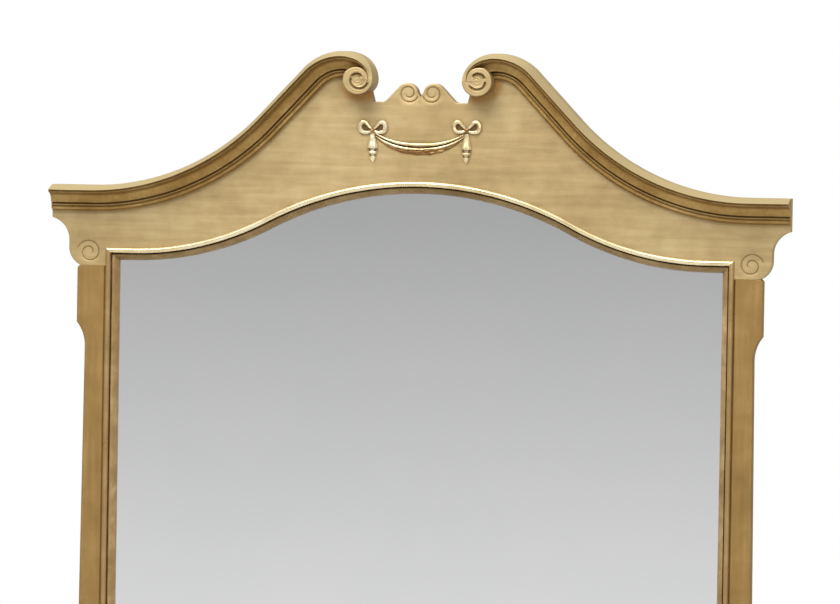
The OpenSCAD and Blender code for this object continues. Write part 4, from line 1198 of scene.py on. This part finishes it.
def swag_fold():
    """The lower, darker fold with leaf veins and an uneven lower edge."""
    rings = []
    for u in np.linspace(-1, 1, 141):
        x = SWAG_X * u
        body = 1 - abs(u) ** 2.2
        upper = swag_edge(x, -0.5, 18.0)
        lower = upper - 1.2 - 14.6 * body ** 0.75 + 0.5 * sin(21 * u) * body
        ring = []
        for k in range(33):
            share = k / 32
            bulge = sin(pi * share) ** 0.6
            vein = sin(30 * abs(u) - 7 * share)
            fold = sin(2 * pi * (2.2 * share + 0.35 * sin(3 * u)))
            out = (2.3 + 0.8 * body + (0.8 * vein + 0.9 * fold) * body) * bulge
            ring.append((x, FACE_Y - max(0.05, out), upper + (lower - upper) * share))
        rings.append(ring + [(x, SUNK_Y, lower), (x, SUNK_Y, upper)])
    return loft(rings)


def swag_strand(start, end, rise, sag, width, height, forward):
    """A smooth roll of cloth along the swag from one place to another, both as shares of its half width."""
    spots = [SWAG_X * u for u in np.linspace(start, end, 91)]
    run = [Vector((x, FACE_Y - forward, swag_edge(x, rise, sag))) for x in spots]

    def swell(t):
        return max(0.12, sin(pi * min(1, max(0, t))) ** 0.55)

    return strand(run, lambda t: width * swell(t), lambda t: height * swell(t), 16)


def swag_rolls():
    """One roll along the top, with a second under it from each side that cross in the middle."""
    return merged(
        swag_strand(-1, 1, 3.8, 19.4, 3.0, 2.8, 3.0),
        swag_strand(-0.99, 0.14, -1.0, 22.6, 2.3, 2.2, 3.1),
        swag_strand(1, -0.04, -1.0, 22, 2.1, 2.2, 2.6),
    )


ORNAMENT = (("bow", merged(bow_loop(-1), bow_loop(1)), "bow", gilt_ornament),
            ("knot", bow_knot(), "bow", gilt_fold),
            ("hollows", merged(bow_hollow(-1), bow_hollow(1)), "bow", bole_and_shade),
            ("tassel", tassel_shape(), "tassel", gilt_ornament))
for side in ("right", "left"):
    for part, shape, node, material in ORNAMENT:
        shape = pressed(shape, BOW_DEPTH if node == "bow" else NOSE_P)
        if side == "left":
            shape = mirrored(shape)
        elif node == "bow":
            shape = [(x, y, z + BOW_LIFT) for x, y, z in shape[0]], shape[1]
        add_piece(f"pressed_{part}_{side}", roughened(shape, 0.25, 7), material,
                  f"{side}_{node}", 50)
add_piece("pressed_swag_rolls", pressed(swag_rolls(), NOSE_P), gilt_ornament, "swag", 60)
add_piece("pressed_swag_fold", pressed(swag_fold(), NOSE_P), gilt_fold, "swag", 60)


# ---------------- back
SAWN_EDGE = 1.2
for n in range(1, 6):
    wood = sawn_wood(f"back_wood_{n}", "x", PINE_TONES, n)
    softened(f"backboard_{n}", 1.6, wood, f"sawn_backboard_{n}", 2, 0.25)
for name, wood in (("back_stile_left", stile_wood), ("back_stile_right", stile_wood),
                   ("back_top_rail", board_wood), ("back_bottom_rail", board_wood),
                   ("pediment_battens", stile_wood)):
    softened(name, SAWN_EDGE, wood, f"sawn_{name}", 3)
softened("setting_blocks", 0.4, board_wood, "sawn_setting_blocks")
for name in ("frame_screws", "backboard_screws", "hanger_screws"):
    softened(name, 0.25, screw_steel, f"slotted_{name}")
for side in ("left", "right"):
    softened(f"{side}_hanger_strap", 0.35, hanger_brass, f"bent_{side}_strap")


def ring_shape(node, bend=3, sides=18):
    """A D-shaped wire: a straight bar through the strap's loop, two legs and a round end."""
    low, high = box_mm(node)
    middle = (low + high) / 2
    wire = (high.y - low.y) / 2
    half = (high.x - low.x) / 2 - wire
    top, round_z = high.z - wire, low.z + wire + half
    run = line((0, top), (half - bend, top), 3) + arc((half - bend, top - bend), bend, 90, 0, 1)[1:]
    run += line((half, top - bend), (half, round_z), 4)[1:] + arc((0, round_z), half, 0, -90, 2)[1:]
    run += [Vector((-p.x, p.y)) for p in reversed(run[1:-1])]
    rings = []
    for before, p, after in zip(run[-1:] + run, run, run[1:] + run[:1]):
        tangent = (after - before).normalized()
        across = Vector((-tangent.y, tangent.x))
        ring = []
        for k in range(sides):
            a = 2 * pi * k / sides
            q = p + across * wire * cos(a)
            ring.append((middle.x + q.x, middle.y + wire * sin(a), q.y))
        rings.append(ring)
    return loft(rings + rings[:1], capped=False)


for side in ("left", "right"):
    node = f"{side}_hanger_ring"
    add_piece(f"bent_{side}_ring", ring_shape(node), hanger_brass, node, 60, f"{side}_ring")


# ---------------- studio, in metres
FLOOR_R = 8.0
# Brightness of the studio against the height of the direction, from straight down to straight up
SKY = ((0.0, 0.3), (0.433, 0.45), (0.4611, 0.726), (0.4901, 0.407), (0.513, 0.3), (0.6, 0.32), (0.75, 0.6),
       (1.0, 1.1))
CAMERA_PLACE = (2.1018, -12.4944, 1.6907)
CAMERA_YAW, CAMERA_PITCH, CAMERA_ROLL = 9.526, -2.004, 0.967
CAMERA_LENS = 301.18


def floor_disc(radius, sides=96):
    mesh = bpy.data.meshes.new("floor")
    rim = [(*polar((0, 0), radius, 360 * i / sides), 0) for i in range(sides)]
    mesh.from_pydata(rim, [], [tuple(range(sides))])
    mesh.materials.append(Surface("floor").fed({"Base Color": 0.7, "Roughness": 0.7}))
    placed("floor", mesh)


def studio_world():
    """Soft light from the whole sky, with plain white behind the object."""
    world = bpy.data.worlds.new("studio")
    bpy.context.scene.world = world
    world.use_nodes = True
    s = Graph(world.node_tree)
    sky = s.ramp(s.upwards(s.coordinates("Generated")), *SKY)
    seen = s.node("LightPath").outputs["Is Camera Ray"]
    background = world.node_tree.nodes["Background"]
    s.feed(background.inputs["Color"], s.mix(seen, sky, 1.0))
    background.inputs["Strength"].default_value = 1.0


def soft_light(name, place, target, size, power):
    lamp = bpy.data.lights.new(name, "AREA")
    lamp.shape = "SQUARE"
    lamp.size = size
    lamp.energy = power
    obj = placed(name, lamp)
    obj.location = place
    obj.rotation_mode = "QUATERNION"
    obj.rotation_quaternion = (Vector(target) - Vector(place)).to_track_quat("-Z", "Y")


def aim_camera():
    yaw, pitch, roll = (radians(a) for a in (CAMERA_YAW, CAMERA_PITCH, CAMERA_ROLL))
    turn = Euler((pi / 2 + pitch, 0, yaw)).to_matrix() @ Matrix.Rotation(roll, 3, "Z")
    camera = bpy.data.cameras.new("camera")
    camera.lens = CAMERA_LENS
    camera.sensor_width = 36
    camera.clip_end = 100
    obj = placed("camera", camera)
    obj.matrix_world = Matrix.Translation(CAMERA_PLACE) @ turn.to_4x4()
    bpy.context.scene.camera = obj


floor_disc(FLOOR_R)
studio_world()
soft_light("overhead", (-0.5, -1.9, 3.9), (0, 0, 1.5), 1.8, 105)
soft_light("front", (2.4, -6.0, 3.0), (0, 0, 1.1), 2.5, 50)
aim_camera()
bpy.context.scene.view_settings.view_transform = "Standard"
